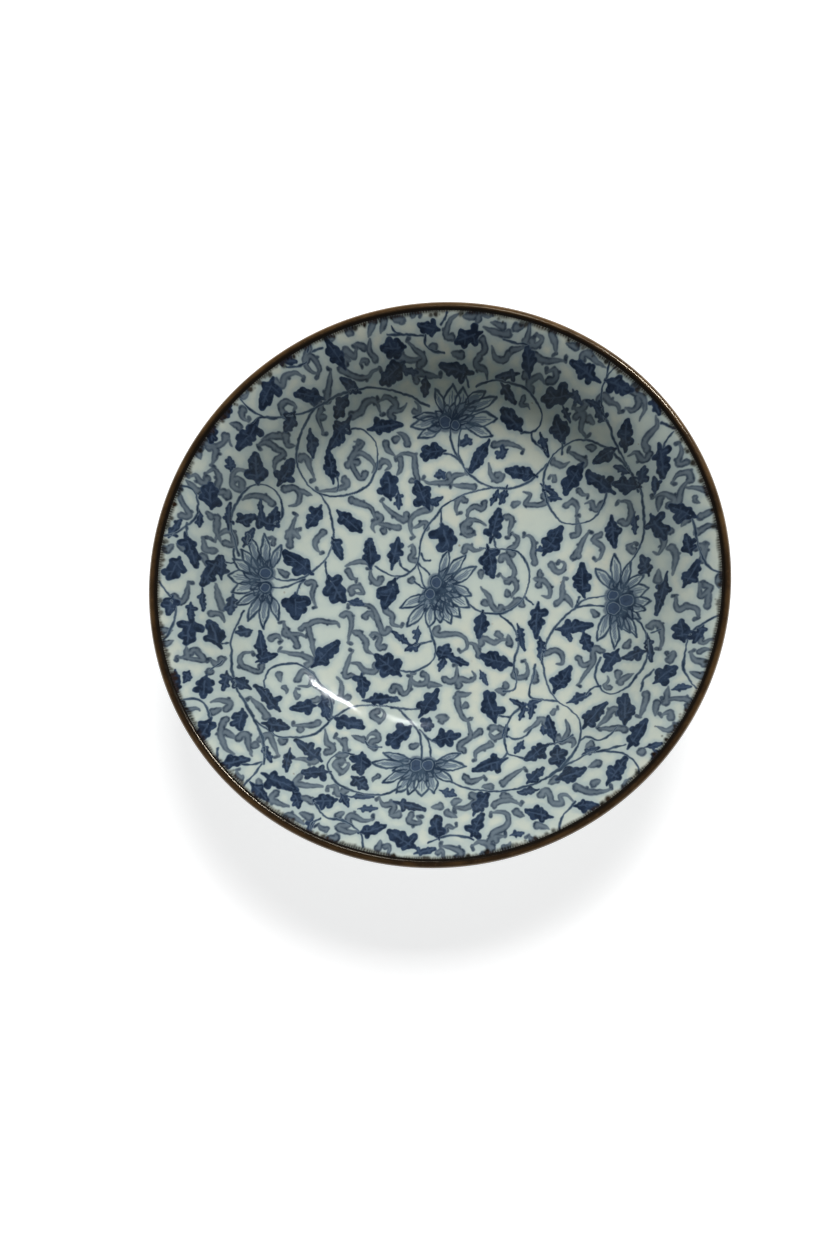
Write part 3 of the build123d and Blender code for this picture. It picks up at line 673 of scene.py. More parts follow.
# Inside: loose commas of thinned blue
CURLS = """
-44 58 -43 60 -40.5 61.3 -38.5 60.5
-36.5 67 -37.8 64.5 -36.8 62 -34.5 61
-35.3 65 -34.2 62.5 -34.8 60.3
-31 62.5 -31.5 60 -32.2 57 -32.5 55.8
-31.3 70.2 -29.5 70.2
-44.5 50.5 -45 52.5 -43.3 53.8 -41.3 52.8 -42 51.3
-34.5 53.5 -35.3 50.5 -34.8 47
-34.8 51 -33 51.5
-55 50.5 -55.3 48.5 -54 47.8
-58.5 46.5 -56.5 46.2
-65.5 41 -63 40 -60.5 41 -59 42.5 -58.5 40.5
-59.5 43 -60.3 41
-52 41.8 -50 43 -47.5 42
-51 43.3 -48 44.5 -45.8 45
-44.3 45.5 -44.5 43.2 -42.5 43
-48.5 35.5 -48 38 -46 39.8
-62.5 38.5 -63.5 36 -64 35
-67.3 38.3 -66.5 36.3
-54.5 34.5 -57.5 34.5 -59 32.5 -58.8 30 -57 29.3 -56.5 31
-65.5 32.5 -63 34 -62 31.5 -62.8 29
-69.5 31 -68 32 -67 30.5
-70 30 -67.5 27.5
-60.5 27 -60 29
-57 26.8 -54.5 28.2 -51.5 28 -49.5 27
-46 31 -43.5 31.8 -42 30 -42.8 27.5 -45 26.5
-42 31 -39 30.3
-37 31.2 -33 31.8 -29 33
-39.5 40 -39 37.5 -37.8 34.5
-25 46 -25.5 43.5 -27 41.5 -26.5 38.5 -25 36
-28 62.8 -25 62
-28 66 -25.5 65
-25.5 72 -25 74.3
-20 71 -18.5 74.5
-16.5 72 -15.5 75
-14 75.8 -10.5 75.3
-24 69 -21.5 68.5
-26.5 67.5 -24.5 66 -23.5 68
-18.5 66 -20 67.5 -19.5 70.5
-9.5 70 -7.5 68.3 -5.5 66.8
-11 66.5 -8 65.8 -5.5 66.4
-3.2 69 -1.8 69
3 67.5 5.5 66.8
1.5 72.5 3 75 5 76.3
6.5 76 9.5 75.8
12 73 15 71.5 19 71
14 74 17.5 72.7
12 70 12.5 67.5 10 66.3
21 72.3 23.5 72.3
25 74 24.8 71 23.8 69
14.5 68.5 15.5 65.8 18 65 19 66.5
20 67.2 23.5 67.3
10.5 64 12.5 63.3 13 61
-27 62.5 -24 61.5 -21 61.5 -19.5 63 -17.5 64
-6.5 63.3 -3.5 62.5 -0.5 62.3
-26 52.3 -23.5 53.5 -22 55.8 -20 56.5 -18.5 55 -17.8 53
-18.5 56.3 -16 57.5 -14 56.5
-14.5 54.3 -12 54.5 -10.5 56
-13.5 48.5 -11.5 47.5 -10.5 45.5
-14.2 46.8 -12.8 46.8
-17 45.5 -16.3 43.5 -14.5 42
-14.5 41.5 -12 42.5 -9 42.3 -8.5 39.5 -8 37 -7.5 35.8
-19.5 39 -17.5 40.5 -16 39 -17.3 37.8
-14 36.5 -12.5 38.5 -12.8 41
-6 35.3 -4 33.8 -1 34 1.5 34
1.5 34 4 36 7 36.5
2.5 33.5 5 32.8 9 32.8
15 44.5 18 44.8 21 44.3 24 42.5
13.5 39.5 14 36.5 15.5 34.5
16 36 18 36
4.5 28.5 4 26 4.5 24.5
7.5 22 7.5 25 9.5 26.8 10.8 26
21 27 23 27.5
24 30.5 26 29.5 24.5 27 28 26.5 30 27
-26 45.5 -23.5 45.5 -25.3 43.5 -26.8 41.5
-28 39 -25.5 42.5 -22.5 41.5 -20.5 39 -21 37
-27 29 -24 27.5 -21.5 26.5 -20 23
-18.5 28.5 -17 26.5 -14.5 24.5 -12.5 23
-4.5 26 -8 25 -10 22.5 -9.8 20 -8.5 17.5
-9.5 20.5 -7.5 21 -6.5 21.8
31 70 32 67.5 32.5 65
27 70.5 28.5 69 27.3 67.8
26.5 65 29 64 32 63.3 35 63
35 67.3 37.5 66
25.5 59.5 28 60.5 29.5 58.5
24 61 26 59.8
30 61 32 61.3 32.5 60
41 64 43.5 61.8 46 60
37.5 51.5 39.5 50.5 41 52
40.5 48.5 40 46 41.5 43.8
42 48.3 43.5 46.8
46 53 47.5 51.5 49.5 50.5 50 48.5
51.5 49.5 53.5 48.5 55 49.5 54.5 51.5
53.5 53 56 51 56.5 48 55.5 45.5
59.5 46 60 43.5 58.5 42 57 39.5 58 38
66 38 66.5 35.5 66 33.5
41.5 41.5 43.5 41
36.5 41 38.5 40 41 38
32.5 38.5 35 37.5 37 38.3
53 36.8 55 37.5 56.5 35.5
64.5 27.5 66 29.5 68.5 29.8 69.5 28
36.5 26 38.5 26.8 39.8 25 39.5 22.5
42 26 43.5 26.3 44.5 24.5
-72.5 27.5 -71.5 24.5 -70 21.5
-65.5 21.8 -64.5 21
-63 21 -63.5 17 -62.5 14
-64 14 -62 17 -60 17.5 -59.5 14.5
-66.5 14.5 -66 11.5 -64.5 11.5
-73 12.5 -71.5 11
-75.5 10.5 -74 12
-66.5 9.5 -65.5 5.5
-48.5 7.5 -46.5 5.8
-43 24 -44.5 21 -45 17.5 -45 15
-44 19 -42.3 17.5 -43 19.5
-35.5 19 -37.5 17 -37.5 14.5 -36.5 12.5
-29 9 -25.5 10 -21.5 10
-28 7.5 -27 5.5 -25.5 5
-26.5 2.5 -24.5 2.5 -24 0.5 -26.5 0.5
-38 3 -38.5 0 -37.5 -3.5
-39.5 -9.5 -37.5 -8 -34.5 -8 -31.5 -8.5 -30.5 -10
-46.5 -8 -45.5 -11 -43.5 -13.5 -42.5 -15.5
-45 -12.5 -42 -12 -40 -13
-39.5 -10 -38.5 -14 -38 -17 -36.5 -21
-47.5 -17 -44.5 -18 -41.5 -18.5 -39 -19.5
-50 -13 -48 -12.5 -47 -14
-54.5 -17.5 -57 -18.5 -57 -21.5 -54.5 -23 -53 -23.7
-27.5 -6.5 -27 -10 -28 -14.5
-26.5 -11 -24.5 -12
-26.5 -17 -28 -20.5 -28.5 -24
-73.5 -3 -71.5 -4 -70.5 -1.5 -70 1.5
-64.5 -7 -62.5 -7 -61.5 -9.5
-64 2 -63 -2 -62 -5
-76 -12.5 -73.5 -12.3
-75 -16.5 -73.5 -15.5
-72 -20 -69 -20.5 -66 -21 -67 -18.5
-70 -17 -69.5 -20
-64.5 -20.5 -62.5 -22 -61.5 -20.5
-64 -24.5 -63 -24.5
-42 -26 -40.5 -23.5 -38 -24.5 -38.5 -27.5 -41.5 -28
-47.3 -24.5 -46.5 -26.5
-20 22 -18 21.5 -15.5 21 -13.5 20.5
-17.7 19.5 -17 20.5
-20.5 19 -20.8 21.5 -19 22.5
-10.5 14.5 -9 15 -8.7 13 -9.5 12
-9.5 4.2 -8.7 3.5
-21.5 8 -21.5 5.5 -20.5 4
6 20.5 6.3 18.5 8 17.5 9.5 18
6.8 20.5 8 22.3 11 22 13 20.5
20.5 22 19.8 19.5 19.8 17
20.8 18.5 22.5 16.5 21.8 14.5 20.3 13.8
7.8 14.5 9.5 13.2 12 13.5
24 17 26 17 27 14.5 27 11.5 27.5 9
29 7 29 5
27 4 29 3.5
19.3 11 20.5 9 21.5 6.5 20.5 4.5 18.5 4.5 17.3 6
21.5 3.5 22 1 20.5 -1.5
19 1 19.3 -0.5
22 -2.5 20 -4.3 18.5 -4.5
11.5 6.5 11.7 4.5
11.5 2 13.5 -0.5 14.5 -3 15.5 -5
12.5 -3 13.5 -3.5
-17 -5 -15 -6.5 -14.5 -9 -12 -10
-23 -6.5 -21.5 -5.5 -20.5 -7.5
-28 -3 -24 -3 -21 -3.5 -19.5 -7 -18 -11
-20.5 -13.5 -21.5 -12.5 -20 -11.8 -18.3 -13 -19 -14.8
-24.5 -12 -22.8 -14 -22.3 -17 -20 -18.5
-27.5 -20.5 -25 -21 -23 -23 -20.5 -23.5
-1 -12.5 2 -12.2 5 -12.3 7 -13.8 7.5 -16.5 5.5 -18
7.5 -15 9.5 -15.5 10.5 -17.5 11 -19
13 -14 15.5 -15.3 18 -14.5 20 -14.5
16.5 -12.5 17.5 -13.5 18 -14.5
19.5 -13 20.3 -15.5
1 -26 3 -26.8 4.5 -25.5 4.5 -22
6 -26.3 8.5 -26.8 10 -25.3 9 -23.8
-9 -24 -9 -26.5 -7 -27.8 -4.5 -27 -4.5 -25 -5.5 -24.5
24.5 -20.5 25.5 -23 25 -25.5 22.5 -26
28 -24 27.5 -27
32.5 8.5 33.5 6.2 35.5 6.3 36 8.5 34.5 9.5
30.5 3 32 1 31.5 -1.5 29.5 -1
36 4 35.5 1 35.5 -2 34 -3.5
36.5 -1.5 38 -3.5 38.5 -5
40 10.5 41 13.5 42.5 16.5 43 17.5
39 10 40 13
38.5 17 39.8 16.8 39.8 19.5 39.5 22
45 14.5 47 12.5 46.5 10 45 9
51 25.5 53.5 24.5 54.5 21.5 54 19.5
56 13 54.5 12 55.5 10.5
60.5 9.5 62 8.5 63 11 62.5 14
65 10 66 7.5 65.8 4 65.5 2
60 24.5 62.5 25 65 23.5
61.8 24 61.5 20.5
66.5 22 67 25.5 69 28
68 26 71 25.5 74 24
72 17 74.5 18.3 76 18
71.5 13 74 14.5 76.5 14.5
73 8 72.5 5 74 9.5
67.5 15.5 68.5 17
74.5 -3 74 -8
76.5 0 76.5 -3
66.5 -4 66.5 -8 69 -7.5
69 -7.5 71 -8.5 71.5 -11
72 -1 72.2 -5 74 -4
62 -12 62.8 -15 62 -19
64 -21 65 -20.5 64.5 -22.5
44 -6 45.5 -7.5
31 -19 33.5 -17.8 35.5 -19.5 35.5 -22 34 -22
40.5 -20.5 41.5 -22.5 44 -21.5 44 -18
44.5 -18.5 44 -22.5 41.5 -26 40 -28.5
53.5 -17.5 54.5 -15.8
69.5 -20.5 70.5 -23 73 -24
55 -26 51.5 -28
51 -25.5 50.8 -27.5
62 4 61.5 1
-54 -31.5 -51.5 -34 -49 -37
-63 -33 -61 -32.3 -59 -32.8
-60.5 -34.5 -62 -36
-69 -35.5 -66.5 -34.8 -65.5 -35.5
-44.5 -61 -42 -62 -40 -62.5
-59 -38 -59.5 -42 -58 -46 -55.5 -48
-58.5 -41.5 -56 -43.5
-53 -43 -52 -46 -51 -48.5
-51 -45.5 -50 -46
-47.5 -43 -46 -45.5 -44.5 -48.5
-45 -43 -44 -44.5
-42 -39.5 -38 -39.5 -35.5 -39
-40 -41 -39.2 -41
-41 -49.5 -38 -49.5 -36 -50.5
-33.5 -41 -32.5 -44.5 -31 -46
-30.5 -43.5 -28 -45 -27 -47.5
-29 -52 -27.5 -53.3 -26 -51.5 -27.5 -50.5
-38.5 -56.5 -35 -57 -32 -57.5
-30.5 -57.5 -28.5 -57.5 -28 -59
-49 -55 -48.5 -57
-38.5 -60 -36 -60.5 -34.5 -61.5
-39.5 -65 -37 -66.5 -35.5 -67.5
-37 -64.5 -34.5 -65.5
-27 -65.5 -25.5 -64.5
-27.5 -68.5 -24 -68
-29.5 -71 -27 -71.5
-31 -25 -29.5 -27 -29.5 -31
-39 -33 -36 -32
-37.5 -28 -35 -29 -32.5 -33
-18 -34.5 -16.5 -36.5 -17.5 -38.5 -19.5 -37.5
-25.5 -43 -22.5 -44.3
-21.5 -44.5 -20.5 -42.5 -18.5 -42.5 -18 -44 -19.5 -44.5
-12.5 -28.5 -11.5 -30.3 -9.5 -29.5 -9.5 -27 -9 -25
-3.5 -27.5 0 -28
5 -31 7.5 -30.8 9 -30.3
4.8 -31.5 5.3 -35 7.5 -38.5 9.5 -38
6.5 -35 7.5 -34
8 -38.5 8.5 -41 9 -43.5 7 -45 6 -45.8
9.5 -44 11.5 -42
15 -41.5 14.5 -43 16 -44 18 -43
15 -41 17 -40.8
15 -46 12.5 -47 10.5 -48.5 10.5 -50.5
24.5 -53 21 -55 18.5 -57.5
8 -55.5 9 -57 12 -56 13 -55.3
12.5 -58.5 15 -58
5 -62.3 7 -62
5 -64 8 -64 10.5 -62.5
16 -63 19 -62 21 -62 23.5 -63.3
18.5 -60.8 21 -61
3 -65.5 5.5 -66.3
22 -65.3 24 -66
15 -65 19 -65.3 20 -67.5 18.5 -69.5 16 -70.5
15 -72.5 17 -71.5 19 -71.5
10 -74 12 -72.8 14.5 -73.8 15 -75.5
1.5 -74 4 -74.2 6.5 -75
-16.5 -61 -15 -63 -13 -62.8
-13 -65.7 -10.5 -65.7
-1.5 -63.7 1 -63.7
-6.5 -68 -4.5 -68 -5 -66.5
-23 -65.5 -20 -66.8 -17.5 -66.5
-15 -72.5 -15.3 -74.5
-26.5 -69 -23.5 -70 -21 -70
1 -37.8 -1.5 -37.5
0 -38.5 2.3 -37.8
-8 -46.5 -6 -45.3
16 -29.8 18.5 -30
19.2 -28.5 19.8 -28.4
-28 -44.5 -27 -47
49 -36.5 47.5 -38.5 45 -41.5
45.5 -42 48 -41.5 52 -42
56 -38.5 57.5 -35 58 -32
62 -34 65 -33.5 68 -34
63.5 -30 63 -34.5
61.5 -38.5 63.5 -37.3 64 -39
60 -41.5 63 -42.5 65 -41.5
55 -48.5 56 -48.5
41.5 -47 43 -46
42 -52.5 44.5 -51.5
31 -57.5 33 -56
38.5 -58 41 -59 45 -59.5 48 -58.5
43 -57 45 -56.5
31 -60 32 -62.5 34.5 -62.5 34 -60.5 36 -60.3 37.5 -62
28 -68.5 31 -69.5
36.5 -39 37 -42 36 -44.5
36 -44.5 38.5 -45 38 -47
24.5 -42.5 27 -41 29 -39
60.5 -34.5 60 -38
69 -26.5 72 -27.5
"""

# Lotus flowers: petals as tip x, tip y, base x, base y and width, then seed pods as x, y and radius
PETALS = """
3.5 -3.8 -1.5 0.8 3  0.4 -5.4 -2.8 -0.8 2.8  5.4 -0.6 -0.3 2 3  4.6 3.6 -0.6 3.2 2.4
1.8 13.5 -0.5 5.5 2.6  6.8 12 1 5 2.8  10 8.3 2.5 3.5 3.2  8.5 -0.5 3 2.5 2.8  -12.5 -3.8 -5 -0.5 3.2
-10.5 -9.8 -5 -3 3.2  -4 -9.8 -3 -3.5 3.2  8 -4.3 2 0.5 3.8  5.5 -7.2 1 -2 3.4  2.4 -9.2 0 -3 3.2
-0.6 -8.8 -1 -3.5 2.6
-9.5 50 -1 52 3.2  -7.5 47 -0.5 50 2.6  -2 59.5 0.5 54 2.4  3 60.3 2.5 52.5 4.6  6.3 59.6 5 53 4
16 51.7 6.5 51.5 3.6  14.5 47 7 50.3 3.2  16 56.6 7 54.5 2.8  12.3 58.3 6.5 56 2.4  -8.5 52.6 -1.5 53 2.2
-51.8 18 -51.5 8 2.4  -47.3 15 -50 8 2.2  -56.2 17 -53 8.5 2.2  -58 12.6 -54 7.5 2.6  -60 9.6 -54.5 6 3.2
-61 4.5 -54.5 4.5 4  -60 0 -54 3 3.4  -59 -4 -53.5 0 2.2  -56 -8.3 -52.8 -0.5 2.2  -51.9 -10.5 -52 -0.5 2.6
-47.8 -7.5 -50.8 0 2.2
45.3 6.5 50 0 2.6  50.5 10.3 51 0.5 2.8  54.8 7.5 52.5 0 2.2  58.3 3 53 0 2.8  59.6 -1 54 -1.5 3.6
60 -4.8 54.5 -4 3  58.5 -7.2 54 -5 2.6  57.2 -9.8 53 -6.5 2.4  56.3 -14.8 53 -7.5 2.2  54.6 -13.6 52 -8 2
50.6 -18 50.5 -8 2.6  45.8 -15.5 49 -7.5 3
-16.5 -48.2 -9 -50.5 2  -19.5 -51 -10.5 -51.8 2.4  -16 -56.6 -9 -53.5 2.4  -11.5 -59.6 -8 -55 2.8
-4.8 -60.8 -5 -54 4.4  -1 -60 -3 -54 3.2  -8.2 -60 -6.5 -54.5 2.8  4 -57 -1.5 -53 2.6  7.7 -52.3 -1 -52 2.6
6 -48.5 -1 -51 1.9
"""
PODS = "-1.8 3.6 2  -3.6 0.2 1.8  0.7 51.2 1.9  3.6 50.4 1.6  -51.8 6.2 1.8  -51.9 1.9 1.6 " \
       "50.3 -2 1.9  50.3 -5.8 2.1  54 -3.8 2.2  -6.4 -52 2.1  -3.3 -52 1.8"


def rows(text, size):
    """Numbers in groups of a size."""
    numbers = [float(v) for v in text.split()]
    return [numbers[i:i + size] for i in range(0, len(numbers), size)]


def lines(text):
    """The rows of a text that have something in them."""
    return [row for row in text.splitlines() if row.strip()]


inside = Plan(MOUTH_RADIUS + 2)
for text in lines(CURLS):
    curl(inside, text)
for text in lines(VINES):
    vine(inside, text)
for x, y, turn, long, wide in rows(THIN_LEAVES, 5):
    leaf(inside, x, y, turn, long, wide, 0.76 + 0.22 * dice.random())
for x, y, turn, long, wide in rows(LEAVES, 5):
    leaf(inside, x, y, turn, long, wide, 0.88 + 0.12 * dice.random())
for tx, ty, bx, by, wide in rows(PETALS, 5):
    petal(inside, tx, ty, bx, by, wide, 0.18 + 0.12 * dice.random())
FLOWERS = ((-2.7, 1.9), (2.1, 50.8), (-51.8, 4.0), (51.5, -3.9), (-4.8, -52.0))
SAME_FLOWER = 18.0
LONG_PETAL = 7.0
for fx, fy in FLOWERS:
    # A short inner row of petals, between long ones that lie close together
    tips = [(tx - fx, ty - fy) for tx, ty, _, _, _ in rows(PETALS, 5)
            if hypot(tx - fx, ty - fy) < SAME_FLOWER]
    tips = sorted((atan2(y, x), hypot(x, y)) for x, y in tips if hypot(x, y) > LONG_PETAL)
    for (a, long), (b, _) in zip(tips, tips[1:] + tips[:1]):
        gap = (b - a) % (2 * pi)
        if gap < 1.1:
            turn, far = a + gap / 2, long * (0.50 + 0.1 * dice.random())
            petal(inside, fx + far * cos(turn), fy + far * sin(turn),
                  fx + 1.6 * cos(turn), fy + 1.6 * sin(turn), 2.2, 0.22)
for x, y, size in rows(PODS, 3):
    pod(inside, x, y, size)

# Small commas scattered over the outer part wherever there is still room
FILL_TRIES = 9000
FILL_START = 46.0
FILL_BREADTH = 31.0
for attempt in range(FILL_TRIES):
    turn, away = 2 * pi * dice.random(), FILL_START + FILL_BREADTH * dice.random() ** 0.8
    x, y = away * cos(turn), away * sin(turn)
    if not inside.clear(x, y, (0.9, 1.95), 4):
        continue
    lie = turn + (pi / 2 if dice.random() < 0.65 else 0) + 1.2 * (dice.random() - 0.5)
    long = 0.9 + 0.6 * dice.random()
    a, b = (x - long * cos(lie), y - long * sin(lie)), (x + long * cos(lie), y + long * sin(lie))
    side = 0.5 if dice.random() < 0.5 else -0.5
    curl(inside, f"{a[0]} {a[1]} {x - side * sin(lie)} {y + side * cos(lie)} {b[0]} {b[1]}", 1.45)

# A brown rim brushed on by hand leaves a ragged inner edge: a soft band, bulges and specks
EDGE_BACK = 0.35
EDGE_DABS = 700
EDGE_BULGES = 170
EDGE_SPECKS = 45
front_inside, along_inside = resampled(inner_path(GLAZE), 0.1)
rim_start = front_inside[along_inside < along_inside[-1] - EDGE_BACK][-1]
for k in range(EDGE_DABS):
    turn = 2 * pi * k / EDGE_DABS
    ragged = 0.20 + 0.10 * sin(7 * turn + 1) + 0.09 * sin(23 * turn) + 0.06 * sin(61 * turn)
    near = np.array([cos(turn), sin(turn)]) * (rim_start[0] + 0.4)
    far = np.array([cos(turn), sin(turn)]) * (rim_start[0] - ragged)
    inside.dab("brown", near, far, 0.8, 0.8, 1.0, 0.7)
for k in range(EDGE_BULGES):
    turn = 2 * pi * dice.random()
    deep = (0.2 + 0.5 * dice.random()) * (1 + 0.4 * sin(turn))
    wide = 0.8 + 0.9 * dice.random()
    spot = np.array([cos(turn), sin(turn)]) * (rim_start[0] - deep)
    inside.dab("brown", spot, spot, wide, wide, 0.7 + 0.3 * dice.random(), 0.55)
for k in range(EDGE_SPECKS):
    turn = 2 * pi * dice.random()
    spot = np.array([cos(turn), sin(turn)]) * (rim_start[0] - 0.5 - 1.3 * dice.random() ** 2)
    inside.dab("brown", spot, spot, 0.35 + 0.35 * dice.random(), 0.3, 0.5 + 0.4 * dice.random(), 0.3)

# Outside: a running scroll on a plan whose radius is the distance from the lip's outer edge inward
RIM_DOWN = 1.8
RIM_LAP = 1.85
front_outside, along_outside = resampled(outside(GLAZE, BARE_FOOT), 0.4)
keep = along_outside > RIM_DOWN
front_outside, along_outside = front_outside[keep], along_outside[keep]
span_outside = along_outside[-1]
OUTER_REACH = 100.0


def on_outside(turn, along):
    """Plan point of the outside at an angle and a distance down from the lip."""
    radius = OUTER_REACH - along
    return radius * cos(turn), radius * sin(turn)


outer = Plan(OUTER_REACH + 1)
for along, wide in ((3.6, 0.5), (span_outside - 9.5, 0.6),
                    (span_outside - 8.3, 0.6), (span_outside - 3.2, 0.5)):
    ring = [on_outside(2 * pi * k / 120, along) for k in range(121)]
    outer.stroke("line", ring, lambda t: wide * (1 + 0.15 * sin(140 * t)), 0.85, 0.3)
WAVES = 7
WAVE_STEPS = 24
MIDDLE_BAND = 21.0
SPRIG_TRIES = 5000
SPRIG_ROOM = 4.3
BIT_TRIES = 9000
BIT_ROOM = 2.1
FOOT_DROPS = 90


def scroll_at(turn):
    """Plan point of the running scroll at an angle."""
    return np.array(on_outside(turn, MIDDLE_BAND + 8.5 * sin(WAVES * turn)))


def sprig(plan, x, y, turn, side):
    """A leaf on a bent stem, with a comma springing from either side of it."""
    a = radians(turn)

    def at(ahead, aside):
        return x + ahead * cos(a) - side * aside * sin(a), y + ahead * sin(a) + side * aside * cos(a)

    def row(*points):
        return " ".join(f"{v:.3f}" for point in points for v in at(*point))

    vine(plan, row((-4.2, 0.8), (-2.2, 0.1), (0.2, 0)))
    leaf(plan, *at(2.3, 0.2), turn + side * 12, 6.4, 4.6)
    curl(plan, row((-3.2, 1.1), (-2.0, 2.7), (-0.2, 3.3)), 1.6)
    curl(plan, row((-3.4, -0.3), (-2.0, -2.0), (0.2, -2.9), (1.6, -2.7)), 1.6)


scroll = [scroll_at(2 * pi * k / (WAVES * WAVE_STEPS)) for k in range(WAVES * WAVE_STEPS + 1)]
outer.stroke("line", scroll, lambda t: 0.7 * (1 + 0.2 * sin(90 * t)), 1.0, 0.3)
for k in range(WAVES * 2):
    centre_turn = 2 * pi * (k + 0.5) / (WAVES * 2)
    side = 1 if k % 2 == 0 else -1
    flower = k % 4 == 0
    fx, fy = on_outside(centre_turn, MIDDLE_BAND - side * 1.2)
    start = scroll_at(centre_turn - 0.12)
    ahead = scroll_at(centre_turn - 0.11) - start
    away = start - (fx, fy)
    wind = 1 if away[0] * ahead[1] - away[1] * ahead[0] > 0 else -1
    a, d = atan2(away[1], away[0]), hypot(away[0], away[1])
    spiral = []
    for j in range(17):
        t = j / 16
        b = a + wind * radians(110 if flower else 330) * t
        far = d + ((7.0 if flower else 4.4) - d) * t ** 0.8
        spiral.append((fx + far * cos(b), fy + far * sin(b)))
    outer.stroke("line", spiral, lambda t: 0.62 - 0.12 * t, 1.0, 0.3)
    if flower:
        for ring, count, wide in ((8.6, 12, 3.2), (5.0, 9, 2.4)):
            for j in range(count):
                b = 2 * pi * j / count + 0.2 * dice.random()
                far = ring * (0.9 + 0.2 * dice.random())
                petal(outer, fx + far * cos(b), fy + far * sin(b), fx + 1.8 * cos(b), fy + 1.8 * sin(b), wide)
        pod(outer, fx - 0.9, fy + 0.8, 1.7)
        pod(outer, fx + 1.1, fy - 0.9, 1.6)
    else:
        leaf(outer, fx, fy, 360 * dice.random(), 7.0, 5.2)
for attempt in range(SPRIG_TRIES):
    turn, along = 2 * pi * dice.random(), 8.5 + (span_outside - 22) * dice.random()
    x, y = on_outside(turn, along)
    if outer.clear(x, y, (0.5 * SPRIG_ROOM, SPRIG_ROOM), 5):
        sprig(outer, x, y, 360 * dice.random(), 1 if dice.random() < 0.5 else -1)
for attempt in range(BIT_TRIES):
    turn, along = 2 * pi * dice.random(), 5.5 + (span_outside - 17) * dice.random()
    x, y = on_outside(turn, along)
    if not outer.clear(x, y, (0.5 * BIT_ROOM, BIT_ROOM), 5):
        continue
    b = 2 * pi * dice.random()
    if dice.random() < 0.4:
        leaf(outer, x, y, 180 * b / pi, 4.4, 3.2, 0.9)
    else:
        long = 1.2 + 0.5 * dice.random()
        ends = (x - long * cos(b), y - long * sin(b), x + long * cos(b), y + long * sin(b))
        curl(outer, " ".join(f"{v:.3f}" for v in ends), 1.6)
for k in range(FOOT_DROPS):
    a = 2 * pi * k / FOOT_DROPS
    x, y = on_outside(a, span_outside - 5.8)
    outer.dab("pale", (x, y), (x + 0.9 * cos(a + 0.7), y + 0.9 * sin(a + 0.7)), 1.6, 1.0, 0.8, 0.4)


def unsteady(x, y):
    """Plan points shifted a little, smoothly and at random, as a hand-held brush is."""
    shifts = np.random.default_rng(5)
    cells = 300
    for cell, most in ((0.8, 0.13), (3.0, 0.28)):
        field = shifts.uniform(-most, most, (2, cells, cells))
        u, v = x / cell + cells / 2, y / cell + cells / 2
        i, j = u.astype(int), v.astype(int)
        a, b = u - i, v - j
        a, b = a * a * (3 - 2 * a), b * b * (3 - 2 * b)
        i, j = i % (cells - 1), j % (cells - 1)
        moved = (field[:, j, i] * (1 - a) * (1 - b) + field[:, j, i + 1] * a * (1 - b)
                 + field[:, j + 1, i] * (1 - a) * b + field[:, j + 1, i + 1] * a * b)
        x, y = x + moved[0], y + moved[1]
    return x, y


def painted(obj, plan, x, y):
    """The plan's inks held by the points of a mesh, as one colour attribute, and the haze round them."""
    x, y = unsteady(x, y)
    held = np.stack([plan.held(k, x, y) for k in ("dark", "pale", "line", "brown")], 1)
    layer = obj.data.color_attributes.new(name="painting", type="FLOAT_COLOR", domain="POINT")
    layer.data.foreach_set("color", held.astype(np.float32).ravel())
    layer = obj.data.attributes.new("haze", "FLOAT", "POINT")
    layer.data.foreach_set("value", plan.haze(x, y).astype(np.float32))


# ---------------------------------------------------------------- materials

def linear(r, g, b):
    """A colour given as it looks on a screen, 0 to 255."""
    made = []
    for v in (r, g, b):
        v = v / 255
        made.append(v / 12.92 if v <= 0.04045 else ((v + 0.055) / 1.055) ** 2.4)
    return made[0], made[1], made[2], 1.0


class Shade:
    """A material's node tree, with short ways to add to it."""

    def __init__(self, name, specular):
        self.material = bpy.data.materials.new(name)
        self.material.use_nodes = True
        self.tree = self.material.node_tree
        self.shader = self.tree.nodes["Principled BSDF"]
        self.shader.inputs["Specular IOR Level"].default_value = specular
        self.place = self.add("ShaderNodeTexCoord").outputs["Object"]

    def add(self, kind, **inputs):
        node = self.tree.nodes.new(kind)
        for key, value in inputs.items():
            self.set(node, key.replace("_", " "), value)
        return node

    def set(self, node, key, value):
        socket = node.inputs[int(key)] if key.isdigit() else node.inputs[key]
        if isinstance(value, bpy.types.NodeSocket):
            self.tree.links.new(value, socket)
        else:
            socket.default_value = value

    def noise(self, scale, detail=3.0, rough=0.55):
        return self.add("ShaderNodeTexNoise", Vector=self.place, Scale=scale, Detail=detail,
                        Roughness=rough).outputs["Fac"]

    def span(self, value, low, high, first=0.0, last=1.0):
        """value between low and high turned into first to last, softly."""
        node = self.tree.nodes.new("ShaderNodeMapRange")
        node.interpolation_type = "SMOOTHSTEP"
        for key, given in (("Value", value), ("From Min", low), ("From Max", high),
                           ("To Min", first), ("To Max", last)):
            self.set(node, key, given)
        return node.outputs["Result"]

    def sum(self, how, a, b):
        node = self.tree.nodes.new("ShaderNodeMath")
        node.operation = how
        self.set(node, "0", a)
        self.set(node, "1", b)
        return node.outputs[0]

    def mix(self, amount, a, b):
        node = self.tree.nodes.new("ShaderNodeMix")
        node.data_type = "RGBA"
        self.set(node, "0", amount)
        self.set(node, "6", a)
        self.set(node, "7", b)
        return node.outputs[2]

    def finish(self, colour, roughness, bump=None, strength=0.2, depth=0.0002):
        self.set(self.shader, "Base Color", colour)
        self.set(self.shader, "Roughness", roughness)
        if bump is not None:
            node = self.add("ShaderNodeBump", Strength=strength, Distance=depth, Height=bump)
            self.tree.links.new(node.outputs["Normal"], self.shader.inputs["Normal"])
        return self.material


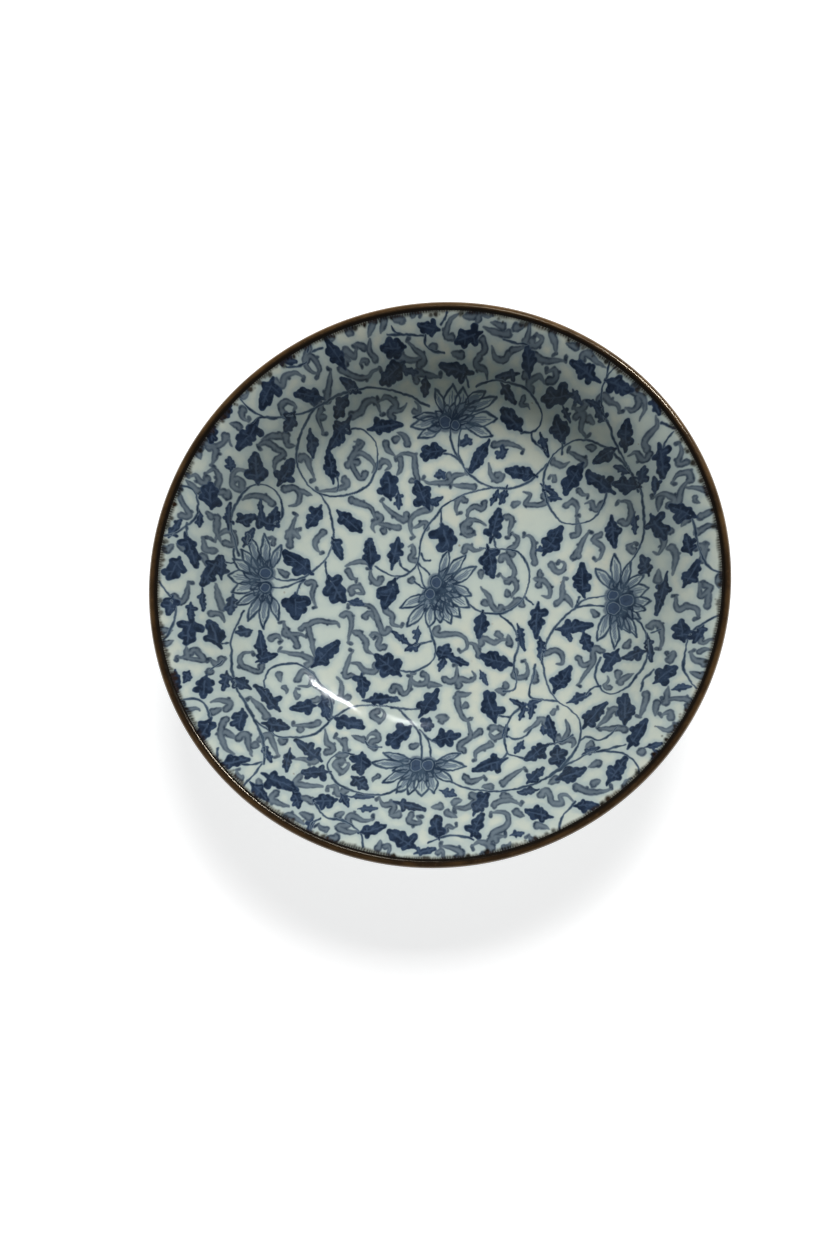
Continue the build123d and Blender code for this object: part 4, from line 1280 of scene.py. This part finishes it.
def brown_colour(shade):
    """Iron brown: near black where thick, red-brown where it ran thin."""
    thin = shade.span(shade.noise(130, 2), 0.35, 0.7)
    streak = shade.span(shade.noise(700, 2), 0.5, 0.8)
    base = shade.mix(thin, linear(60, 43, 25), linear(90, 67, 40))
    return shade.mix(shade.sum("MULTIPLY", streak, 0.3), base, linear(110, 84, 54))


def porcelain(name, with_painting):
    """Clear glaze over pale clay, with blue and brown where the mesh's painting says."""
    shade = Shade(name, 0.34)
    wide = shade.noise(22, 2)
    fine = shade.noise(260, 5, 0.6)
    ground = shade.mix(shade.span(wide, 0.3, 0.7), linear(195, 206, 197), linear(204, 210, 196))
    ground = shade.mix(shade.span(shade.noise(48, 2), 0.5, 0.72, 0, 0.5), ground, linear(211, 211, 193))
    if with_painting:
        bled = shade.add("ShaderNodeAttribute")
        bled.attribute_name = "haze"
        near = shade.sum("ADD", bled.outputs["Fac"], shade.span(shade.noise(420, 2), 0.35, 0.7, -0.03, 0.05))
        ground = shade.mix(shade.span(near, 0.0, 0.30), ground, linear(177, 191, 188))
    ground = shade.mix(shade.span(fine, 0.5, 0.8, 0, 0.3), ground, linear(180, 194, 190))
    specks = shade.add("ShaderNodeTexVoronoi", Vector=shade.place, Scale=210.0)
    speck = shade.span(specks.outputs["Distance"], 0.055, 0.10, 1.0, 0.0)
    some = shade.span(shade.noise(60, 1), 0.60, 0.66)
    speck = shade.sum("MULTIPLY", shade.sum("MULTIPLY", speck, some), 0.6)
    ground = shade.mix(speck, ground, linear(120, 98, 72))
    colour = ground
    if with_painting:
        held = shade.add("ShaderNodeAttribute")
        held.attribute_name = "painting"
        parts = shade.add("ShaderNodeSeparateColor", Color=held.outputs["Color"])
        dark, pale, line = parts.outputs["Red"], parts.outputs["Green"], parts.outputs["Blue"]
        mottle = shade.noise(700, 4, 0.6)
        pool = shade.noise(330, 2)
        grain = shade.noise(2600, 2, 0.5)
        grey = shade.mix(shade.span(mottle, 0.35, 0.65), linear(42, 55, 71), linear(74, 87, 101))
        pale = shade.sum("MULTIPLY", pale, shade.span(pool, 0.3, 0.65, 0.78, 1.0))
        colour = shade.mix(shade.span(pale, 0.0, 0.5), colour, linear(110, 124, 134))
        colour = shade.mix(shade.span(pale, 0.4, 0.95), colour, grey)
        deep = shade.mix(shade.span(pool, 0.38, 0.62), linear(30, 42, 60), linear(46, 61, 83))
        deep = shade.mix(shade.span(mottle, 0.48, 0.72, 0, 0.6), deep, linear(66, 84, 108))
        deep = shade.mix(shade.span(grain, 0.5, 0.8, 0, 0.35), deep, linear(14, 22, 38))
        colour = shade.mix(shade.span(dark, 0.0, 0.5), colour, linear(70, 87, 110))
        colour = shade.mix(shade.span(dark, 0.4, 0.92), colour, deep)
        thread = shade.mix(shade.span(pool, 0.35, 0.65), linear(40, 55, 74), linear(64, 81, 98))
        line = shade.sum("MULTIPLY", line, shade.span(dark, 0.65, 0.9, 1.0, 0.0))
        colour = shade.mix(shade.span(line, 0.0, 0.45), colour, linear(108, 124, 138))
        colour = shade.mix(shade.span(line, 0.35, 1.0), colour, thread)
        drip = shade.mix(shade.span(pool, 0.4, 0.65), linear(16, 11, 7), linear(44, 30, 18))
        colour = shade.mix(held.outputs["Alpha"], colour, drip)
    ripple = shade.sum("ADD", shade.noise(95, 2), shade.sum("MULTIPLY", shade.noise(900, 2), 0.12))
    return shade.finish(colour, shade.span(fine, 0.3, 0.7, 0.07, 0.15), ripple, 0.2, 0.0003)


def iron_rim():
    """Brown glaze, dark along its inner edge, with a painted highlight: paler over the top of the lip."""
    shade = Shade("iron_brown_rim", 1.0)
    shade.shader.inputs["Specular Tint"].default_value = (1.0, 0.88, 0.70, 1)
    colour = brown_colour(shade)
    band = shade.add("ShaderNodeAttribute")
    band.attribute_name = "across_band"
    across = band.outputs["Fac"]
    dark_edge = shade.span(across, 0.10, 0.30, 1.0, 0.0)
    colour = shade.mix(dark_edge, colour, linear(16, 11, 7))
    # Painted highlight: a paler band along the crest of the lip, the same all the way round
    crest_highlight = shade.sum("MULTIPLY", shade.span(across, 0.28, 0.42), shade.span(across, 0.62, 0.86, 1.0, 0.0))
    crest_highlight = shade.sum("MULTIPLY", crest_highlight, shade.span(shade.noise(90, 3), 0.42, 0.62, 0.25, 0.7))
    colour = shade.mix(crest_highlight, colour, linear(128, 100, 66))
    roughness = shade.span(shade.noise(500, 3), 0.3, 0.7, 0.15, 0.20)
    return shade.finish(colour, roughness, shade.noise(110, 2), 0.02)


def bare_clay():
    """Dry fired clay, toasted in patches, with grit."""
    shade = Shade("bare_foot_clay", 0.35)
    wide = shade.noise(120, 4)
    fine = shade.noise(1800, 4, 0.7)
    colour = shade.mix(shade.span(wide, 0.35, 0.65), linear(212, 200, 180), linear(196, 168, 132))
    colour = shade.mix(shade.span(fine, 0.5, 0.75, 0, 0.5), colour, linear(168, 140, 110))
    grit = shade.span(shade.noise(3200, 2), 0.64, 0.70)
    colour = shade.mix(shade.sum("MULTIPLY", grit, 0.7), colour, linear(92, 72, 56))
    return shade.finish(colour, shade.span(fine, 0.3, 0.7, 0.66, 0.86), fine, 0.5)


# ---------------------------------------------------------------- pieces

def settle(obj, material, node):
    """Give a piece its material and its body, and hide the frame's part for that node."""
    obj.data.materials.append(material)
    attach(obj, "root")
    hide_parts(node)


# How many times round, or rings out from the middle, each piece is divided
INSIDE_RINGS = 300
OUTSIDE_SPOKES = 1300
RIM_SPOKES = 720
CLAY_SPOKES = 256
FOOT_SPOKES = 360

# Inside coat, fine enough to hold the painting
front, _ = resampled([p for p in front_inside if p[0] <= rim_start[0]], along_inside[-1] / INSIDE_RINGS)
back, _ = resampled([p for p in inner_path(0.0) if p[0] <= rim_start[0]], 4.0)
inner_coat, true_points = dish_piece("glaze_inside", front, back, True)
painted(inner_coat, inside, true_points[:, 0], true_points[:, 1])
settle(inner_coat, porcelain("painted_glaze_inside", True), "inner_glaze")

# Outside coat
back = outside(0.0, BARE_FOOT)
back, along_back = resampled(back, 1.5)
outline = list(front_outside) + list(back[along_back > RIM_DOWN][::-1])
outer_coat, true_points = turned_piece("glaze_outside", outline, OUTSIDE_SPOKES, len(front_outside))
turn = np.repeat(np.arange(OUTSIDE_SPOKES) * 2 * pi / OUTSIDE_SPOKES, len(outline))
along = np.r_[along_outside, np.full(len(outline) - len(along_outside), along_outside[0])]
along = np.tile(along, OUTSIDE_SPOKES)
painted(outer_coat, outer, (OUTER_REACH - along) * np.cos(turn), (OUTER_REACH - along) * np.sin(turn))
settle(outer_coat, porcelain("painted_glaze_outside", True), "outer_glaze")

# Glaze inside the foot, plain
front, _ = resampled(outside(GLAZE, -BARE_FOOT)[::-1], 0.6)
back, _ = resampled(outside(0.0, -BARE_FOOT)[::-1], 3.0)
well, _ = dish_piece("glaze_in_foot_well", front, back, False)
settle(well, porcelain("plain_glaze_foot_well", False), "foot_well_glaze")

# Brown rim, standing a little proud of the clear glaze
RIM_PROUD = 0.04
band = [p for p in front_inside if p[0] >= rim_start[0]] + edge_path(GLAZE + RIM_PROUD)
down, along_down = resampled(outer_path(GLAZE), 0.1)
band = np.array(band + list(down[along_down < RIM_LAP][1:]))
band, along_band = resampled(band, 0.16)
down, along_down = resampled(outer_path(0.0), 0.3)
start = [p for p in inner_path(0.0) if p[0] >= rim_start[0]]
hidden = np.array(start + edge_path(0.0, 16) + list(down[along_down < RIM_LAP][1:]))
outline = list(band) + list(hidden[::-1])
rim, _ = turned_piece("brown_rim", outline, RIM_SPOKES, len(band))
layer = rim.data.attributes.new("across_band", "FLOAT", "POINT")
across = np.tile(np.r_[along_band / along_band[-1], np.zeros(len(hidden))], RIM_SPOKES)
layer.data.foreach_set("value", across.astype(np.float32))
settle(rim, iron_rim(), "rim_glaze")

# Clay under the glaze
whole = inner_path(0.0) + edge_path(0.0)[1:] + outer_path(0.0)[1:]
fine_outline, _ = resampled([p for p in whole if p[0] > 0.05], 0.8)
clay, _ = turned_piece("clay_bowl", list(fine_outline), CLAY_SPOKES)
settle(clay, bare_clay(), "bowl_shell")


def foot_bend(side, k):
    """Point on the soft bend at the foot ring's outer (side 1) or inner (side -1) lower edge."""
    a = pi / 2 * k / 6
    radius = FOOT_RADIUS if side > 0 else FOOT_RADIUS - FOOT_WIDTH
    rise = FOOT_EDGE * (1 - cos(a))
    return radius - side * (FOOT_EDGE * (1 - sin(a)) - 0.1 * rise), rise


FOOT_TOP = 8.2
ring = [foot_bend(-1, 6 - k) for k in range(7)] + [foot_bend(1, k) for k in range(7)]
ring += [tuple(foot_face(1, 0, z)) for z in (2, 4, 6, FOOT_TOP)]
ring += [tuple(foot_face(-1, 0, z)) for z in (FOOT_TOP, 6, 4, 2)]
foot, _ = turned_piece("clay_foot_ring", ring[::-1], FOOT_SPOKES)
settle(foot, bare_clay(), "foot_ring")

# ---------------------------------------------------------------- floor, lights and camera

mesh = bpy.data.meshes.new("studio_floor")
FLOOR_HALF = 3.0
corners = [(x * FLOOR_HALF, y * FLOOR_HALF, 0) for x, y in ((-1, -1), (1, -1), (1, 1), (-1, 1))]
mesh.from_pydata(corners, [], [(0, 1, 2, 3)])
studio_floor = bpy.data.objects.new("studio_floor", mesh)
scene.collection.objects.link(studio_floor)
pale = Shade("pale_floor", 0.1)
mesh.materials.append(pale.finish(linear(196, 196, 196), 0.9))
pale.shader.inputs["Emission Color"].default_value = (1, 1, 1, 1)
pale.shader.inputs["Emission Strength"].default_value = 0.78

# Dim light from all round, a little brighter from low down, and a pale backdrop for the camera
world = bpy.data.worlds.new("soft_studio")
scene.world = world
world.use_nodes = True
tree = world.node_tree
height = tree.nodes.new("ShaderNodeSeparateXYZ")
tree.links.new(tree.nodes.new("ShaderNodeTexCoord").outputs["Generated"], height.inputs[0])
fade = tree.nodes.new("ShaderNodeValToRGB")
fade.color_ramp.elements[0].position = 0.05
fade.color_ramp.elements[0].color = (0.085, 0.09, 0.10, 1)
fade.color_ramp.elements[1].position = 0.75
fade.color_ramp.elements[1].color = (0.030, 0.033, 0.037, 1)
tree.links.new(height.outputs["Z"], fade.inputs["Fac"])
seen = tree.nodes.new("ShaderNodeMix")
seen.data_type = "RGBA"
seen.inputs[7].default_value = (0.86, 0.87, 0.88, 1)
tree.links.new(tree.nodes.new("ShaderNodeLightPath").outputs["Is Camera Ray"], seen.inputs[0])
tree.links.new(fade.outputs["Color"], seen.inputs[6])
tree.links.new(seen.outputs[2], tree.nodes["Background"].inputs["Color"])
tree.nodes["Background"].inputs["Strength"].default_value = 1.0
scene.view_settings.view_transform = "Standard"


def lamp(name, place, aim, width, height, power, along=(1, 0, 0)):
    """A flat lamp facing aim, its width lying along a direction."""
    data = bpy.data.lights.new(name, "AREA")
    data.shape = "RECTANGLE"
    data.size, data.size_y, data.energy = width, height, power
    obj = bpy.data.objects.new(name, data)
    scene.collection.objects.link(obj)
    back = (Vector(place) - Vector(aim)).normalized()
    side = Vector(along)
    side = (side - back * side.dot(back)).normalized()
    obj.location = place
    obj.rotation_mode = "QUATERNION"
    obj.rotation_quaternion = Matrix((side, back.cross(side), back)).transposed().to_quaternion()
    return obj


# The window gives only soft light, and the other two lamps only the glints on the glaze and the lip
window = lamp("window", (0.12, 0.60, 0.93), (0, 0, 0.02), 0.40, 0.30, 12.3)
window.visible_glossy = False
glint = lamp("small_window", (0.08, 0.56, 0.97), (0, 0, 0.02), 0.11, 0.09, 0.45)
glint.visible_diffuse = False
strip = lamp("strip_light", (0.404, 0.508, 0.736), (-0.035, -0.028, 0.013), 0.28, 0.036, 2.4,
             (-0.283, 0.054, 0.182))
strip.visible_diffuse = False

# Almost straight down into the bowl, from a little towards -Y
camera = bpy.data.objects.new("camera", bpy.data.cameras.new("camera"))
scene.collection.objects.link(camera)
camera.data.sensor_width = 36
camera.data.lens = 46.53
eye = Vector((17.24, -43.76, 496.1)) * MM
aim = Vector((-5.97, -11.85, 48.6)) * MM
ahead = (aim - eye).normalized()
right = ahead.cross(Vector((0, 1, 0))).normalized()
up = right.cross(ahead)
turned_to = Matrix((right, up, -ahead)).transposed()
camera.rotation_mode = "QUATERNION"
camera.location = eye
camera.rotation_quaternion = turned_to.to_quaternion()
camera.data.clip_start = 0.01
scene.camera = camera
